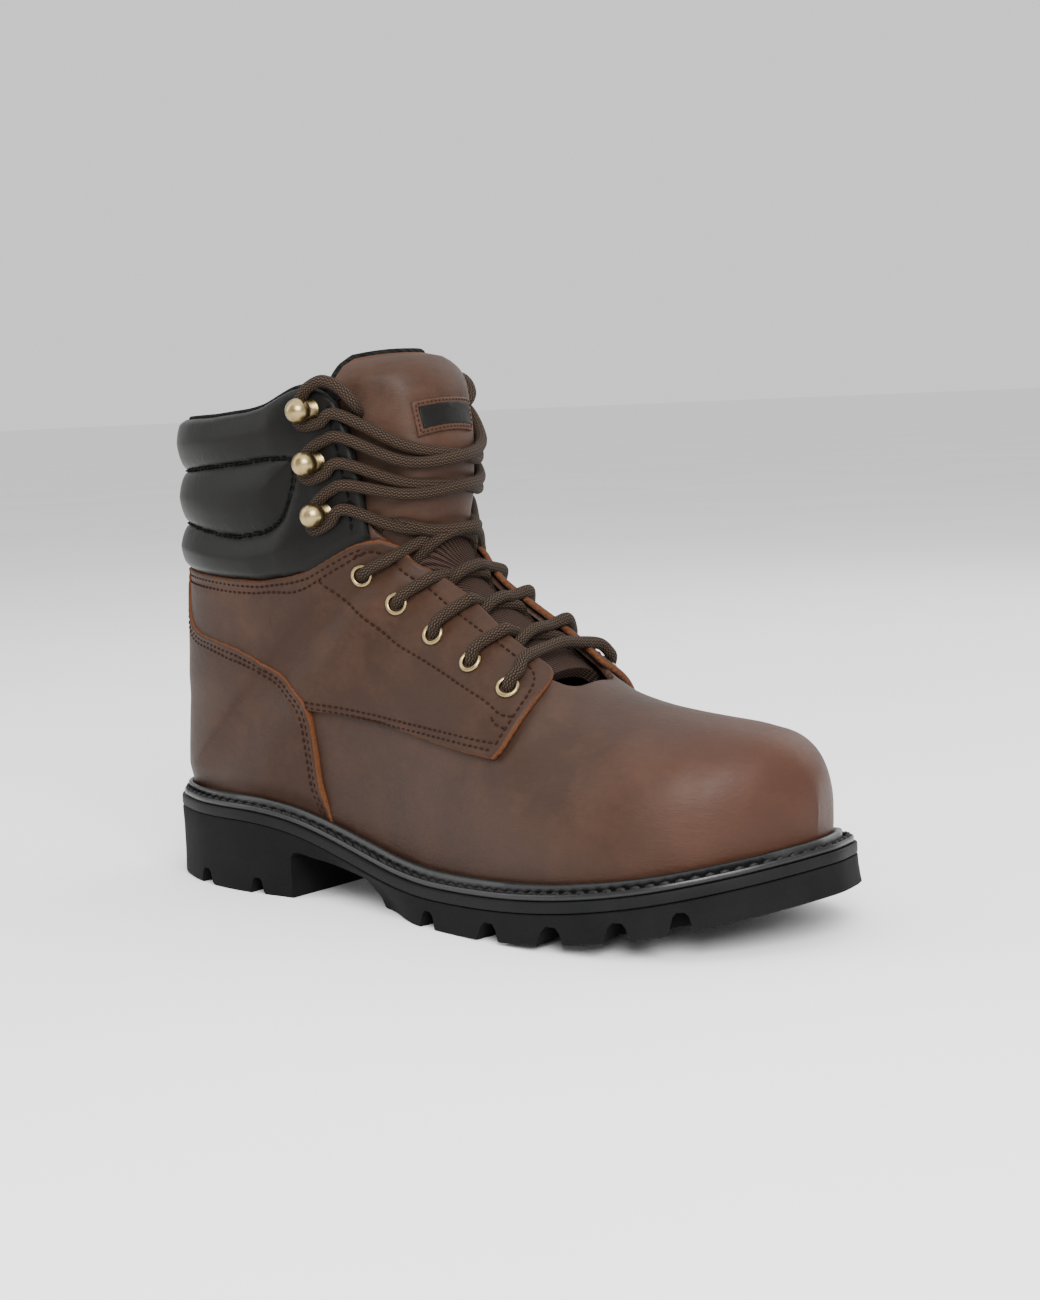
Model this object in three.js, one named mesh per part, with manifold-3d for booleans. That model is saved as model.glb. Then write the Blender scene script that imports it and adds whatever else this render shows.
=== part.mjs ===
// Six-inch lace-up work boot with a round safety toe, right foot, standing on its sole.
// X runs from heel to toe, +Y is the medial side, +Z is up, lengths are in millimetres.
// Every piece of the upper is cut from one lofted surface, and every sole layer from one plan outline.
import * as THREE from "three";
import Module from "manifold-3d";
import { mergeVertices } from "three/addons/utils/BufferGeometryUtils.js";

const wasm = await Module();
wasm.setup();

// Driving dimensions
const SOLE_LENGTH = 312;
const BALL_WIDTH = 116;
const HEEL_TOP = 33;
const FORE_TOP = 15;
const TOE_SPRING = 17;
const UPPER_RISE = 160;
const UPPER_WIDTH = 98;
const TOE_SHIFT = 6;

// Sole layers
const MIDSOLE_THICKNESS = 4;
const LUG_DEPTH = 6.5;
const LUG_RIM = 17;
const TREAD_GROOVE = 5;
const ARCH_HEIGHT = 19;
const SIDE_FLARE = 1.2;
const WAIST_UNDERCUT = 10;
const WELT_SETBACK = 1.2;
const WELT_THICKNESS = 2.2;
const WELT_RIM_WIDTH = 3.2;
const WELT_RIM_HEIGHT = 5.2;
const WELT_CLEARANCE = 1.1;
const HEEL_MARGIN = 8.3;
const FORE_MARGIN = 9.2;
const INSOLE_THICKNESS = 3.5;
const INSOLE_CLEARANCE = 1.8;

// Upper layers
const GAP = 0.3;
const UPPER_WALL = 2.6;
const OVERLAY = 2;
const COLLAR_FLAT = 2.2;
const COLLAR_PUFF = 3.6;
const TONGUE_THICKNESS = 4.5;
const PATCH_THICKNESS = 1.2;

// Metal and lace
const EYELET_DIAMETER = 9;
const EYELET_HOLE = 5.2;
const EYELET_THICKNESS = 1.2;
const HOOK_BALL = 9.6;
const HOOK_NECK = 4.6;
const HOOK_STANDOFF = 7.4;
const LACE_DIAMETER = 4.6;

// Plan outline of the sole, heel to toe: x of SOLE_LENGTH, half widths of half BALL_WIDTH
const PLAN = [
  { x: 0, lateral: 0, medial: 0 },
  { x: 0.01, lateral: 0.2, medial: 0.2 },
  { x: 0.03, lateral: 0.35, medial: 0.35 },
  { x: 0.06, lateral: 0.47, medial: 0.47 },
  { x: 0.12, lateral: 0.61, medial: 0.61 },
  { x: 0.2, lateral: 0.68, medial: 0.66 },
  { x: 0.3, lateral: 0.67, medial: 0.6 },
  { x: 0.4, lateral: 0.73, medial: 0.56 },
  { x: 0.5, lateral: 0.835, medial: 0.65 },
  { x: 0.6, lateral: 0.93, medial: 0.79 },
  { x: 0.7, lateral: 1, medial: 0.93 },
  { x: 0.78, lateral: 1, medial: 0.98 },
  { x: 0.85, lateral: 0.92, medial: 0.95 },
  { x: 0.9, lateral: 0.77, medial: 0.88 },
  { x: 0.95, lateral: 0.5, medial: 0.71 },
  { x: 0.98, lateral: 0.24, medial: 0.5 },
  { x: 0.993, lateral: 0.07, medial: 0.31 },
  { x: 1, lateral: -0.1, medial: 0.1 },
];

// Sections of the upper, toe to collar. Each is a straight line in the side view, from its foot on
// the feather edge or heel back to its ridge. foot and ridge are x of SOLE_LENGTH, lift and rise are
// heights over the sole's top edge of UPPER_RISE, swells are widths gained over the feather edge of
// half UPPER_WIDTH, belly is where the section is widest, and crown, back and full are its roundness.
const SECTION_COLUMNS = [
  "foot", "lift", "ridge", "rise", "lateral", "medial", "belly", "crown", "back", "full",
];
const SECTIONS = [
  [0.9705, 0, 0.9755, 0.094, 0, 0, 0.3, 2.2, 1, 2],
  [0.967, 0, 0.972, 0.151, 0.02, 0.02, 0.3, 2.2, 1, 2],
  [0.956, 0, 0.96, 0.209, 0.03, 0.03, 0.3, 2.2, 1, 2],
  [0.933, 0, 0.935, 0.264, 0.04, 0.04, 0.3, 2.3, 1, 2],
  [0.895, 0, 0.895, 0.305, 0.04, 0.04, 0.3, 2.35, 1, 2],
  [0.832, 0, 0.832, 0.341, 0.04, 0.04, 0.28, 2.2, 1, 2],
  [0.762, 0, 0.762, 0.382, 0.035, 0.04, 0.25, 2.05, 1, 2],
  [0.698, 0, 0.698, 0.434, 0.03, 0.05, 0.25, 2.05, 1, 2],
  [0.629, 0, 0.648, 0.506, 0.02, 0.07, 0.25, 2.3, 1, 2],
  [0.546, 0, 0.603, 0.574, 0.02, 0.1, 0.3, 2.4, 1, 2],
  [0.46, 0, 0.559, 0.631, 0.03, 0.15, 0.33, 2.4, 1, 2],
  [0.368, 0, 0.524, 0.678, 0.04, 0.12, 0.4, 2.4, 1, 2],
  [0.273, 0, 0.502, 0.718, 0.05, 0.08, 0.45, 2.35, 1, 2],
  [0.178, 0, 0.491, 0.759, 0.08, 0.09, 0.5, 2.3, 1.05, 2],
  [0.095, 0, 0.486, 0.8, 0.18, 0.18, 0.55, 2.2, 1.3, 2.1],
  [0.045, 0, 0.484, 0.844, 0.4, 0.4, 0.6, 2.2, 1.9, 2.4],
  [0.029, 0.006, 0.484, 0.888, 0.7, 0.7, 0.64, 2.2, 2.6, 2.6],
  [0.035, 0.17, 0.484, 0.931, 0.7, 0.7, 0.66, 2.2, 2.6, 2.6],
  [0.044, 0.3, 0.484, 0.975, 0.7, 0.7, 0.66, 2.2, 2.6, 2.6],
  [0.05, 0.45, 0.483, 1.025, 0.71, 0.71, 0.67, 2.2, 2.6, 2.6],
  [0.056, 0.61, 0.479, 1.075, 0.72, 0.72, 0.68, 2.2, 2.6, 2.6],
  [0.062, 0.76, 0.476, 1.125, 0.73, 0.73, 0.68, 2.2, 2.6, 2.6],
  [0.063, 0.92, 0.473, 1.181, 0.74, 0.74, 0.68, 2.2, 2.6, 2.6],
  [0.063, 1.11, 0.47, 1.244, 0.74, 0.74, 0.68, 2.2, 2.6, 2.6],
].map((row) => Object.fromEntries(SECTION_COLUMNS.map((name, i) => [name, row[i]])));
const SECTION_STOPS = [0, 0.5, ...Array.from(SECTIONS.keys()).slice(1)];
const SIDE_STEPS = 9;

const halfBall = BALL_WIDTH / 2;
const halfUpper = UPPER_WIDTH / 2;
const clamp = THREE.MathUtils.clamp;
const ramp = THREE.MathUtils.smoothstep;

// A smooth curve of numbers through four neighbours, at share f between b and c
function blend(a, b, c, d, f) {
  return b + 0.5 * f * (c - a + f * (2 * a - 5 * b + 4 * c - d + f * (3 * (b - c) + d - a)));
}

function rowAt(table, u) {
  const i = clamp(Math.floor(u), 0, table.length - 2);
  const near = [-1, 0, 1, 2].map((k) => table[clamp(i + k, 0, table.length - 1)]);
  const row = {};
  for (const key of Object.keys(table[0])) {
    row[key] = blend(...near.map((r) => r[key]), u - i);
  }
  return row;
}

// Heights of the sole along the boot
function spring(x) {
  const start = 0.57 * SOLE_LENGTH;
  return TOE_SPRING * Math.max(0, (x - start) / (SOLE_LENGTH - start)) ** 2;
}

function soleTop(x) {
  const fall = ramp(x, 0.19 * SOLE_LENGTH, 0.56 * SOLE_LENGTH);
  return HEEL_TOP - (HEEL_TOP - FORE_TOP) * fall + spring(x);
}

function margin(x) {
  return THREE.MathUtils.lerp(HEEL_MARGIN, FORE_MARGIN, ramp(x, 0.2 * SOLE_LENGTH, 0.5 * SOLE_LENGTH));
}

// The closed plan outline: lateral side from heel to toe, then medial side back to the heel
const OUTLINE = [
  ...PLAN.map((row) => [row.x * SOLE_LENGTH, -row.lateral * halfBall]),
  ...PLAN.slice(1, -1).reverse().map((row) => [row.x * SOLE_LENGTH, row.medial * halfBall]),
];

function outlinePoint(s) {
  const n = OUTLINE.length;
  const i = Math.floor(s);
  const near = [-1, 0, 1, 2].map((k) => OUTLINE[(i + k + 2 * n) % n]);
  return [0, 1].map((axis) => blend(...near.map((p) => p[axis]), s - i));
}

// The point of the outline at row u of PLAN on one side (-1 lateral, 1 medial), moved inwards
function planPoint(u, side, inset) {
  const s = side < 0 ? u : OUTLINE.length - u;
  const [x, y] = outlinePoint(s);
  const before = outlinePoint(s - 0.02);
  const after = outlinePoint(s + 0.02);
  const run = new THREE.Vector2(after[0] - before[0], after[1] - before[1]).normalize();
  return [x - run.y * inset, y + run.x * inset];
}

const FEATHER = [-1, 1].map((side) => {
  const points = [];
  for (let u = 0; u <= PLAN.length - 1; u += 0.1) {
    const [x] = planPoint(u, side, 0);
    points.push(planPoint(u, side, margin(x)));
  }
  return points;
});

// The feather edge's y at x, on one side
function featherY(x, side) {
  const points = FEATHER[side < 0 ? 0 : 1];
  const k = points.findIndex((p) => p[0] >= x);
  if (k <= 0) {
    return k === 0 ? points[0][1] : points[points.length - 1][1];
  }
  const [a, b] = [points[k - 1], points[k]];
  return a[1] + (b[1] - a[1]) * (x - a[0]) / Math.max(b[0] - a[0], 1e-6);
}

function centreY(x) {
  return TOE_SHIFT * ramp(x, 0.8 * SOLE_LENGTH, 0.97 * SOLE_LENGTH);
}

for (const row of SECTIONS) {
  const x = row.foot * SOLE_LENGTH;
  const onFeather = row.lift === 0 && row !== SECTIONS[0];
  row.lateralFoot = onFeather ? centreY(x) - featherY(x, -1) : 0;
  row.medialFoot = onFeather ? featherY(x, 1) - centreY(x) : 0;
}

// The two ends of section u in the side view
function sectionEnds(row) {
  const foot = row.foot * SOLE_LENGTH;
  const ridge = row.ridge * SOLE_LENGTH;
  return {
    foot: new THREE.Vector2(foot, soleTop(foot) + GAP + Math.max(row.lift, 0) * UPPER_RISE),
    ridge: new THREE.Vector2(ridge, soleTop(ridge) + GAP + row.rise * UPPER_RISE),
  };
}

// Half width of a section at share t from its foot to its ridge
function halfWidth(row, side, t) {
  const start = side < 0 ? row.lateralFoot : row.medialFoot;
  const swell = (side < 0 ? row.lateral : row.medial) * halfUpper;
  if (t < row.belly) {
    return start + swell * (1 - (1 - t / row.belly) ** row.full) ** (1 / row.back);
  }
  const up = Math.min((t - row.belly) / (1 - row.belly), 1);
  return (start + swell) * (1 - up ** row.crown) ** (1 / row.crown);
}

// A point of the upper's surface: section u, and v from -1 (lateral foot) over 0 (ridge) to 1
function skinPoint(u, v) {
  const row = rowAt(SECTIONS, u);
  const { foot, ridge } = sectionEnds(row);
  const up = 1 - Math.min(Math.abs(v), 1);
  const t = up < 0.5
    ? row.belly * (1 - Math.cos(up * Math.PI))
    : row.belly + (1 - row.belly) * Math.sin((up - 0.5) * Math.PI);
  const side = v < 0 ? -1 : 1;
  const p = foot.clone().lerp(ridge, t);
  const half = up > 0.9999 ? 0 : Math.max(halfWidth(row, side, t), 0);
  return new THREE.Vector3(p.x, centreY(p.x) + side * half, p.y);
}

function skinNormal(u, v) {
  const du = skinPoint(u + 0.05, v).sub(skinPoint(Math.max(u - 0.05, 0), v));
  const dv = skinPoint(u, Math.min(v + 0.03, 1)).sub(skinPoint(u, Math.max(v - 0.03, -1)));
  const normal = dv.cross(du);
  const row = rowAt(SECTIONS, u);
  const closed = Math.abs(v) > 0.9999 && Math.max(row.lateralFoot, row.medialFoot) < 0.01;
  if (closed || u < 0.001 || Math.abs(v) < 0.0001) {
    normal.y = 0;
  }
  return normal.normalize();
}

// The surface at a distance outwards, a number or a function of the surface point
function offsetPoint(u, v, distance) {
  const p = skinPoint(u, v);
  const out = typeof distance === "function" ? distance(p, u, v) : distance;
  return p.addScaledVector(skinNormal(u, v), out);
}

// Side-view seams: x of SOLE_LENGTH, rise over the sole's top edge of UPPER_RISE
const SHAFT_SEAM = [
  { x: -0.03, rise: 0.598 },
  { x: 0.065, rise: 0.595 },
  { x: 0.143, rise: 0.583 },
  { x: 0.194, rise: 0.577 },
  { x: 0.251, rise: 0.581 },
  { x: 0.302, rise: 0.61 },
  { x: 0.337, rise: 0.639 },
  { x: 0.368, rise: 0.682 },
  { x: 0.397, rise: 0.724 },
  { x: 0.413, rise: 0.743 },
  { x: 0.43, rise: 0.755 },
];
const EYESTAY_EDGE = [
  { x: 0.448, rise: 0.744 },
  { x: 0.464, rise: 0.714 },
  { x: 0.659, rise: 0.477 },
  { x: 0.668, rise: 0.456 },
  { x: 0.67, rise: 0.431 },
  { x: 0.668, rise: 0.4 },
  { x: 0.663, rise: 0.361 },
  { x: 0.654, rise: 0.319 },
  { x: 0.643, rise: 0.297 },
];
const QUARTER_FOOT = [
  { x: 0.603, rise: 0.307 },
  { x: 0.565, rise: 0.317 },
  { x: 0.508, rise: 0.326 },
  { x: 0.438, rise: 0.329 },
  { x: 0.381, rise: 0.312 },
  { x: 0.32, rise: 0.291 },
];
const COUNTER_SEAM = [
  { x: 0.07, rise: 0.595 },
  { x: 0.073, rise: 0.542 },
  { x: 0.078, rise: 0.486 },
  { x: 0.089, rise: 0.455 },
  { x: 0.114, rise: 0.433 },
  { x: 0.145, rise: 0.423 },
  { x: 0.197, rise: 0.4045 },
  { x: 0.241, rise: 0.385 },
  { x: 0.279, rise: 0.358 },
  { x: 0.305, rise: 0.33 },
  { x: 0.319, rise: 0.317 },
  { x: 0.325, rise: 0.276 },
  { x: 0.326, rise: 0.227 },
  { x: 0.328, rise: 0.17 },
  { x: 0.33, rise: 0.118 },
  { x: 0.34, rise: 0.057 },
  { x: 0.346, rise: -0.02 },
];
const COLLAR_FRONT = [
  { x: 0.421, rise: 0.756 },
  { x: 0.42, rise: 0.8 },
  { x: 0.416, rise: 0.898 },
  { x: 0.411, rise: 0.958 },
  { x: 0.405, rise: 1.018 },
  { x: 0.395, rise: 1.064 },
];
const COLLAR_TOP = [
  { x: 0.381, rise: 1.086 },
  { x: 0.359, rise: 1.089 },
  { x: 0.33, rise: 1.069 },
  { x: 0.308, rise: 1.044 },
  { x: 0.279, rise: 1.011 },
  { x: 0.251, rise: 0.993 },
  { x: 0.178, rise: 0.975 },
  { x: -0.03, rise: 0.971 },
];
// Puffs of the collar between its stitched channels, and where the puffs fade towards the front
const PUFFS = [
  { low: 0.58, high: 0.705 },
  { low: 0.705, high: 0.838 },
  { low: 0.838, high: 0.985 },
];
const PUFF_FADE = { from: 0.27, to: 0.34 };
const OPENING_FOOT = { x: 0.688, rise: 0.436 };
const EDGE_SETBACK = 1.2;

// Fittings along the edge: eyelets from the top down, hooks from the bottom up
const EYELETS = [
  { x: 0.406, rise: 0.658 },
  { x: 0.456, rise: 0.61 },
  { x: 0.515, rise: 0.556 },
  { x: 0.579, rise: 0.502 },
  { x: 0.635, rise: 0.445 },
];
const HOOKS = [
  { x: 0.368, rise: 0.791 },
  { x: 0.364, rise: 0.911 },
  { x: 0.361, rise: 1.034 },
];

function seam(table) {
  return table.map((row) => {
    const x = row.x * SOLE_LENGTH;
    return new THREE.Vector2(x, soleTop(x) + GAP + row.rise * UPPER_RISE);
  });
}

// Solids: triangle lists, prisms and sole layers as manifolds
function quad(list, a, b, c, d) {
  list.push(a, b, c, a, c, d);
}

function manifold(geometry) {
  geometry.deleteAttribute("normal");
  geometry.deleteAttribute("uv");
  const merged = mergeVertices(geometry, 1e-3);
  const index = merged.index.array;
  const kept = [];
  for (let i = 0; i < index.length; i += 3) {
    const [a, b, c] = index.subarray(i, i + 3);
    if (a !== b && b !== c && c !== a) {
      kept.push(a, b, c);
    }
  }
  const vertProperties = new Float32Array(merged.attributes.position.array);
  const make = (triangles) =>
    new wasm.Manifold(new wasm.Mesh({ numProp: 3, vertProperties, triVerts: new Uint32Array(triangles) }));
  const solid = make(kept);
  if (solid.volume() > 0) {
    return solid;
  }
  return make(kept.reverse());
}

function solidOf(points) {
  const geometry = new THREE.BufferGeometry().setFromPoints(points);
  return manifold(geometry);
}

// A side-view outline extruded across the boot
function prism(points, fromY = -BALL_WIDTH, toY = BALL_WIDTH) {
  const shape = new THREE.Shape(points);
  const geometry = new THREE.ExtrudeGeometry(shape, { depth: toY - fromY, bevelEnabled: false });
  geometry.rotateX(Math.PI / 2);
  geometry.translate(0, toY, 0);
  return manifold(geometry);
}

// The closed body inside the upper's surface at a distance outwards
function skinSolid(distance, stops = SECTION_STOPS, steps = SIDE_STEPS) {
  const rings = stops.map((u) =>
    Array.from({ length: 2 * steps + 1 }, (_, j) => offsetPoint(u, j / steps - 1, distance)));
  const list = [];
  const last = 2 * steps;
  for (let k = 0; k + 1 < rings.length; k += 1) {
    for (let j = 0; j < last; j += 1) {
      quad(list, rings[k][j], rings[k][j + 1], rings[k + 1][j + 1], rings[k + 1][j]);
    }
    quad(list, rings[k][last], rings[k][0], rings[k + 1][0], rings[k + 1][last]);
  }
  const first = rings[0];
  const top = rings[rings.length - 1];
  for (let j = 0; j < steps; j += 1) {
    quad(list, first[j + 1], first[j], first[last - j], first[last - j - 1]);
    quad(list, top[j], top[j + 1], top[last - j - 1], top[last - j]);
  }
  return solidOf(list);
}

// The upper's wall between two distances, open underneath and at the top
function skinWall(outer, inner) {
  const [faces, backs] = [outer, inner].map((distance) => SECTION_STOPS.map((u) =>
    Array.from({ length: 2 * SIDE_STEPS + 1 }, (_, j) => offsetPoint(u, j / SIDE_STEPS - 1, distance))));
  const list = [];
  const last = 2 * SIDE_STEPS;
  const n = SECTION_STOPS.length - 1;
  const closedFrom = SECTIONS.findIndex((row) => row.lift > 0);
  for (let k = 0; k < n; k += 1) {
    for (let j = 0; j < last; j += 1) {
      quad(list, faces[k][j], faces[k][j + 1], faces[k + 1][j + 1], faces[k + 1][j]);
      quad(list, backs[k][j], backs[k + 1][j], backs[k + 1][j + 1], backs[k][j + 1]);
    }
    if (SECTION_STOPS[k] < closedFrom) {
      quad(list, backs[k][0], faces[k][0], faces[k + 1][0], backs[k + 1][0]);
      quad(list, faces[k][last], backs[k][last], backs[k + 1][last], faces[k + 1][last]);
    }
  }
  for (let j = 0; j < last; j += 1) {
    quad(list, faces[n][j], faces[n][j + 1], backs[n][j + 1], backs[n][j]);
  }
  return solidOf(list);
}

// Stations along the sole, rows of PLAN, closer together at the round ends
const ROUND_HEEL = 3;
const ROUND_TOE = 12;
const PLAN_STOPS = Array.from({ length: 2 * PLAN.length - 1 }, (_, i) => i / 2)
  .filter((u) => u <= ROUND_HEEL || u >= ROUND_TOE || Number.isInteger(u));

// A layer of the sole between two surfaces that follow the plan outline
function soleLayer({ topInset, topZ, bottomInset = topInset, bottomZ, from = 0, to = PLAN.length - 1 }) {
  const value = (f, x, side) => (typeof f === "function" ? f(x, side) : f);
  const corner = (u, side, inset, height) => {
    const [x] = planPoint(u, side, 0);
    const p = planPoint(u, side, value(inset, x, side));
    return new THREE.Vector3(p[0], p[1], value(height, p[0]));
  };
  const rings = [];
  for (const u of PLAN_STOPS.filter((stop) => stop >= from && stop <= to)) {
    rings.push([
      corner(u, -1, topInset, topZ),
      corner(u, 1, topInset, topZ),
      corner(u, 1, bottomInset, bottomZ),
      corner(u, -1, bottomInset, bottomZ),
    ]);
  }
  const list = [];
  for (let k = 0; k + 1 < rings.length; k += 1) {
    for (let j = 0; j < 4; j += 1) {
      quad(list, rings[k][j], rings[k][(j + 1) % 4], rings[k + 1][(j + 1) % 4], rings[k + 1][j]);
    }
  }
  quad(list, ...[...rings[0]].reverse());
  quad(list, ...rings[rings.length - 1]);
  return solidOf(list);
}

// Treads: side notches between the lugs, x of SOLE_LENGTH and width at the ground
const NOTCHES = [
  { x: 0.122, width: 13 },
  { x: 0.228, width: 10 },
  { x: 0.549, width: 12 },
  { x: 0.657, width: 16 },
  { x: 0.752, width: 16 },
  { x: 0.835, width: 13 },
  { x: 0.898, width: 11 },
];
const HEEL_BREAST = 0.288;
const TREAD_START = 0.43;
// Rows of PLAN between which the tread's middle is cut back to separate lugs
const HEEL_FIELD = { from: 2, to: 5 };
const FORE_FIELD = { from: 9, to: 14.5 };

function planRowAt(x, side) {
  let low = 0;
  let high = PLAN.length - 1;
  for (let i = 0; i < 30; i += 1) {
    const middle = (low + high) / 2;
    if (planPoint(middle, side, 0)[0] < x) {
      low = middle;
    } else {
      high = middle;
    }
  }
  return low;
}

function notch({ x, width }, side) {
  const u = planRowAt(x * SOLE_LENGTH, side);
  const start = planPoint(u, side, -TREAD_GROOVE);
  const end = planPoint(u, side, LUG_RIM);
  const shape = new THREE.Shape([
    new THREE.Vector2(-width * 0.55, -LUG_DEPTH),
    new THREE.Vector2(width * 0.55, -LUG_DEPTH),
    new THREE.Vector2(width * 0.25, LUG_DEPTH),
    new THREE.Vector2(-width * 0.25, LUG_DEPTH),
  ]);
  const inward = new THREE.Vector3(end[0] - start[0], end[1] - start[1], 0);
  const depth = inward.length();
  inward.normalize();
  const up = new THREE.Vector3(0, 0, 1);
  const across = new THREE.Vector3().crossVectors(up, inward);
  const geometry = new THREE.ExtrudeGeometry(shape, { depth, bevelEnabled: false });
  const place = new THREE.Matrix4().makeBasis(across, up, inward);
  place.setPosition(start[0], start[1], spring(start[0]));
  geometry.applyMatrix4(place);
  return manifold(geometry);
}

// Slanted blocks left standing in the middle of the tread, two between each pair of notches
function treadBlocks() {
  const blocks = [];
  for (let i = 0; i + 1 < NOTCHES.length; i += 1) {
    const [a, b] = [NOTCHES[i].x * SOLE_LENGTH, NOTCHES[i + 1].x * SOLE_LENGTH];
    const length = b - a - 1.4 * TREAD_GROOVE;
    const x = (a + b) / 2;
    for (const side of [-1, 1]) {
      const reach = Math.abs(planPoint(planRowAt(x, side), side, LUG_RIM + TREAD_GROOVE)[1]);
      const width = reach - TREAD_GROOVE / 2;
      const block = new THREE.BoxGeometry(length, width, 4 * LUG_DEPTH);
      block.rotateZ(side * 0.22);
      block.translate(x, side * (TREAD_GROOVE + width) / 2, spring(x));
      blocks.push(manifold(block));
    }
  }
  return wasm.Manifold.union(blocks);
}

function makeOutsole() {
  const narrowing = (x) => ramp(x, 0.29 * SOLE_LENGTH, 0.37 * SOLE_LENGTH);
  const widening = (x) => ramp(x, 0.42 * SOLE_LENGTH, 0.54 * SOLE_LENGTH);
  const waist = (x) => narrowing(x) * (1 - widening(x));
  const flare = (x) => SIDE_FLARE * ramp(x, 0.5 * SOLE_LENGTH, 0.7 * SOLE_LENGTH);
  const body = soleLayer({
    topInset: 0,
    topZ: (x) => soleTop(x) - MIDSOLE_THICKNESS - GAP,
    bottomInset: (x) => WAIST_UNDERCUT * waist(x) - flare(x),
    bottomZ: spring,
  });
  const breast = HEEL_BREAST * SOLE_LENGTH;
  const start = TREAD_START * SOLE_LENGTH;
  const arch = prism([
    new THREE.Vector2(breast, -ARCH_HEIGHT),
    new THREE.Vector2(start + 2, -ARCH_HEIGHT),
    new THREE.Vector2(start + 1, 0.25 * ARCH_HEIGHT),
    new THREE.Vector2(start - 4, 0.68 * ARCH_HEIGHT),
    new THREE.Vector2(breast + 12, 0.9 * ARCH_HEIGHT),
    new THREE.Vector2(breast + 2, ARCH_HEIGHT),
    new THREE.Vector2(breast, ARCH_HEIGHT - 2),
  ]);
  const notches = NOTCHES.flatMap((row) => [notch(row, -1), notch(row, 1)]);
  const fields = [HEEL_FIELD, FORE_FIELD].map((field) => soleLayer({
    topInset: LUG_RIM,
    topZ: (x) => spring(x) + LUG_DEPTH,
    bottomZ: (x) => spring(x) - LUG_DEPTH,
    ...field,
  }));
  const tread = wasm.Manifold.union(fields).subtract(treadBlocks());
  return body.subtract(arch).subtract(wasm.Manifold.union(notches)).subtract(tread);
}

function makeMidsole() {
  return soleLayer({ topInset: 0, topZ: soleTop, bottomZ: (x) => soleTop(x) - MIDSOLE_THICKNESS });
}

// How far the upper swells over its feather edge by the top of the welt's rim
function footBulge(x, side) {
  const closed = SECTIONS.findIndex((row) => row.lift > 0);
  let [low, high] = [0, closed - 1];
  for (let i = 0; i < 30; i += 1) {
    const middle = (low + high) / 2;
    if (rowAt(SECTIONS, middle).foot * SOLE_LENGTH > x) {
      low = middle;
    } else {
      high = middle;
    }
  }
  const row = rowAt(SECTIONS, low);
  const { foot, ridge } = sectionEnds(row);
  const t = (WELT_RIM_HEIGHT + GAP) / ridge.distanceTo(foot);
  return Math.min(halfWidth(row, side, t) - halfWidth(row, side, 0), WELT_RIM_HEIGHT);
}

// A storm welt: a flat flange with a raised rim against the upper, looped around the plan outline
function makeWelt() {
  const section = (u, side) => {
    const [x] = planPoint(u, side, 0);
    const inner = margin(x) - WELT_CLEARANCE;
    const bulge = footBulge(x, side) + GAP;
    const corners = [
      [WELT_SETBACK, 0],
      [WELT_SETBACK, WELT_THICKNESS],
      [inner - WELT_RIM_WIDTH, WELT_THICKNESS],
      [inner - bulge - 0.6 * WELT_RIM_WIDTH, WELT_RIM_HEIGHT],
      [inner - bulge, WELT_RIM_HEIGHT],
      [inner, 0],
    ];
    return corners.map(([inset, height]) => {
      const p = planPoint(u, side, inset);
      return new THREE.Vector3(p[0], p[1], soleTop(p[0]) + GAP + height);
    });
  };
  const lateral = PLAN_STOPS.map((u) => section(u, -1));
  const medial = PLAN_STOPS.slice(1, -1).reverse().map((u) => section(u, 1));
  const loop = [...lateral, ...medial];
  const list = [];
  loop.forEach((ring, k) => {
    const next = loop[(k + 1) % loop.length];
    ring.forEach((p, j) => {
      const beside = (j + 1) % ring.length;
      quad(list, p, ring[beside], next[beside], next[j]);
    });
  });
  return solidOf(list);
}

function makeInsole() {
  return soleLayer({
    topInset: (x) => margin(x) + UPPER_WALL + INSOLE_CLEARANCE,
    topZ: (x) => soleTop(x) + GAP + INSOLE_THICKNESS,
    bottomZ: (x) => soleTop(x) + GAP,
  });
}

// Where a side-view point lies on the surface: section u and v on one side
function locate(point, side) {
  let low = 0;
  let high = SECTIONS.length - 1;
  for (let i = 0; i < 40; i += 1) {
    const middle = (low + high) / 2;
    const { foot, ridge } = sectionEnds(rowAt(SECTIONS, middle));
    const along = ridge.clone().sub(foot);
    const reach = point.clone().sub(foot);
    if (along.cross(reach) > 0) {
      low = middle;
    } else {
      high = middle;
    }
  }
  const row = rowAt(SECTIONS, low);
  const { foot, ridge } = sectionEnds(row);
  const along = ridge.clone().sub(foot);
  const t = clamp(point.clone().sub(foot).dot(along) / along.lengthSq(), 0, 1);
  const up = t < row.belly
    ? Math.acos(1 - t / row.belly) / Math.PI
    : 0.5 + Math.asin((t - row.belly) / (1 - row.belly)) / Math.PI;
  return { u: low, v: side * (1 - up) };
}

// A frame standing on the surface at (u, v): its z axis is the normal, its x axis runs up the boot
function standOn({ u, v }, distance) {
  const normal = skinNormal(u, v);
  const upward = skinPoint(u + 0.2, v).sub(skinPoint(u - 0.2, v));
  const across = new THREE.Vector3().crossVectors(normal, upward).normalize();
  const along = new THREE.Vector3().crossVectors(across, normal);
  const place = new THREE.Matrix4().makeBasis(along, across, normal);
  return place.setPosition(offsetPoint(u, v, distance));
}

// Everything lower than a height over the sole's top edge
function soleSpace(height) {
  return soleLayer({
    topInset: -HEEL_MARGIN,
    topZ: (x) => soleTop(x) + height,
    bottomZ: (x) => soleTop(x) - HEEL_TOP,
  });
}

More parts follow.
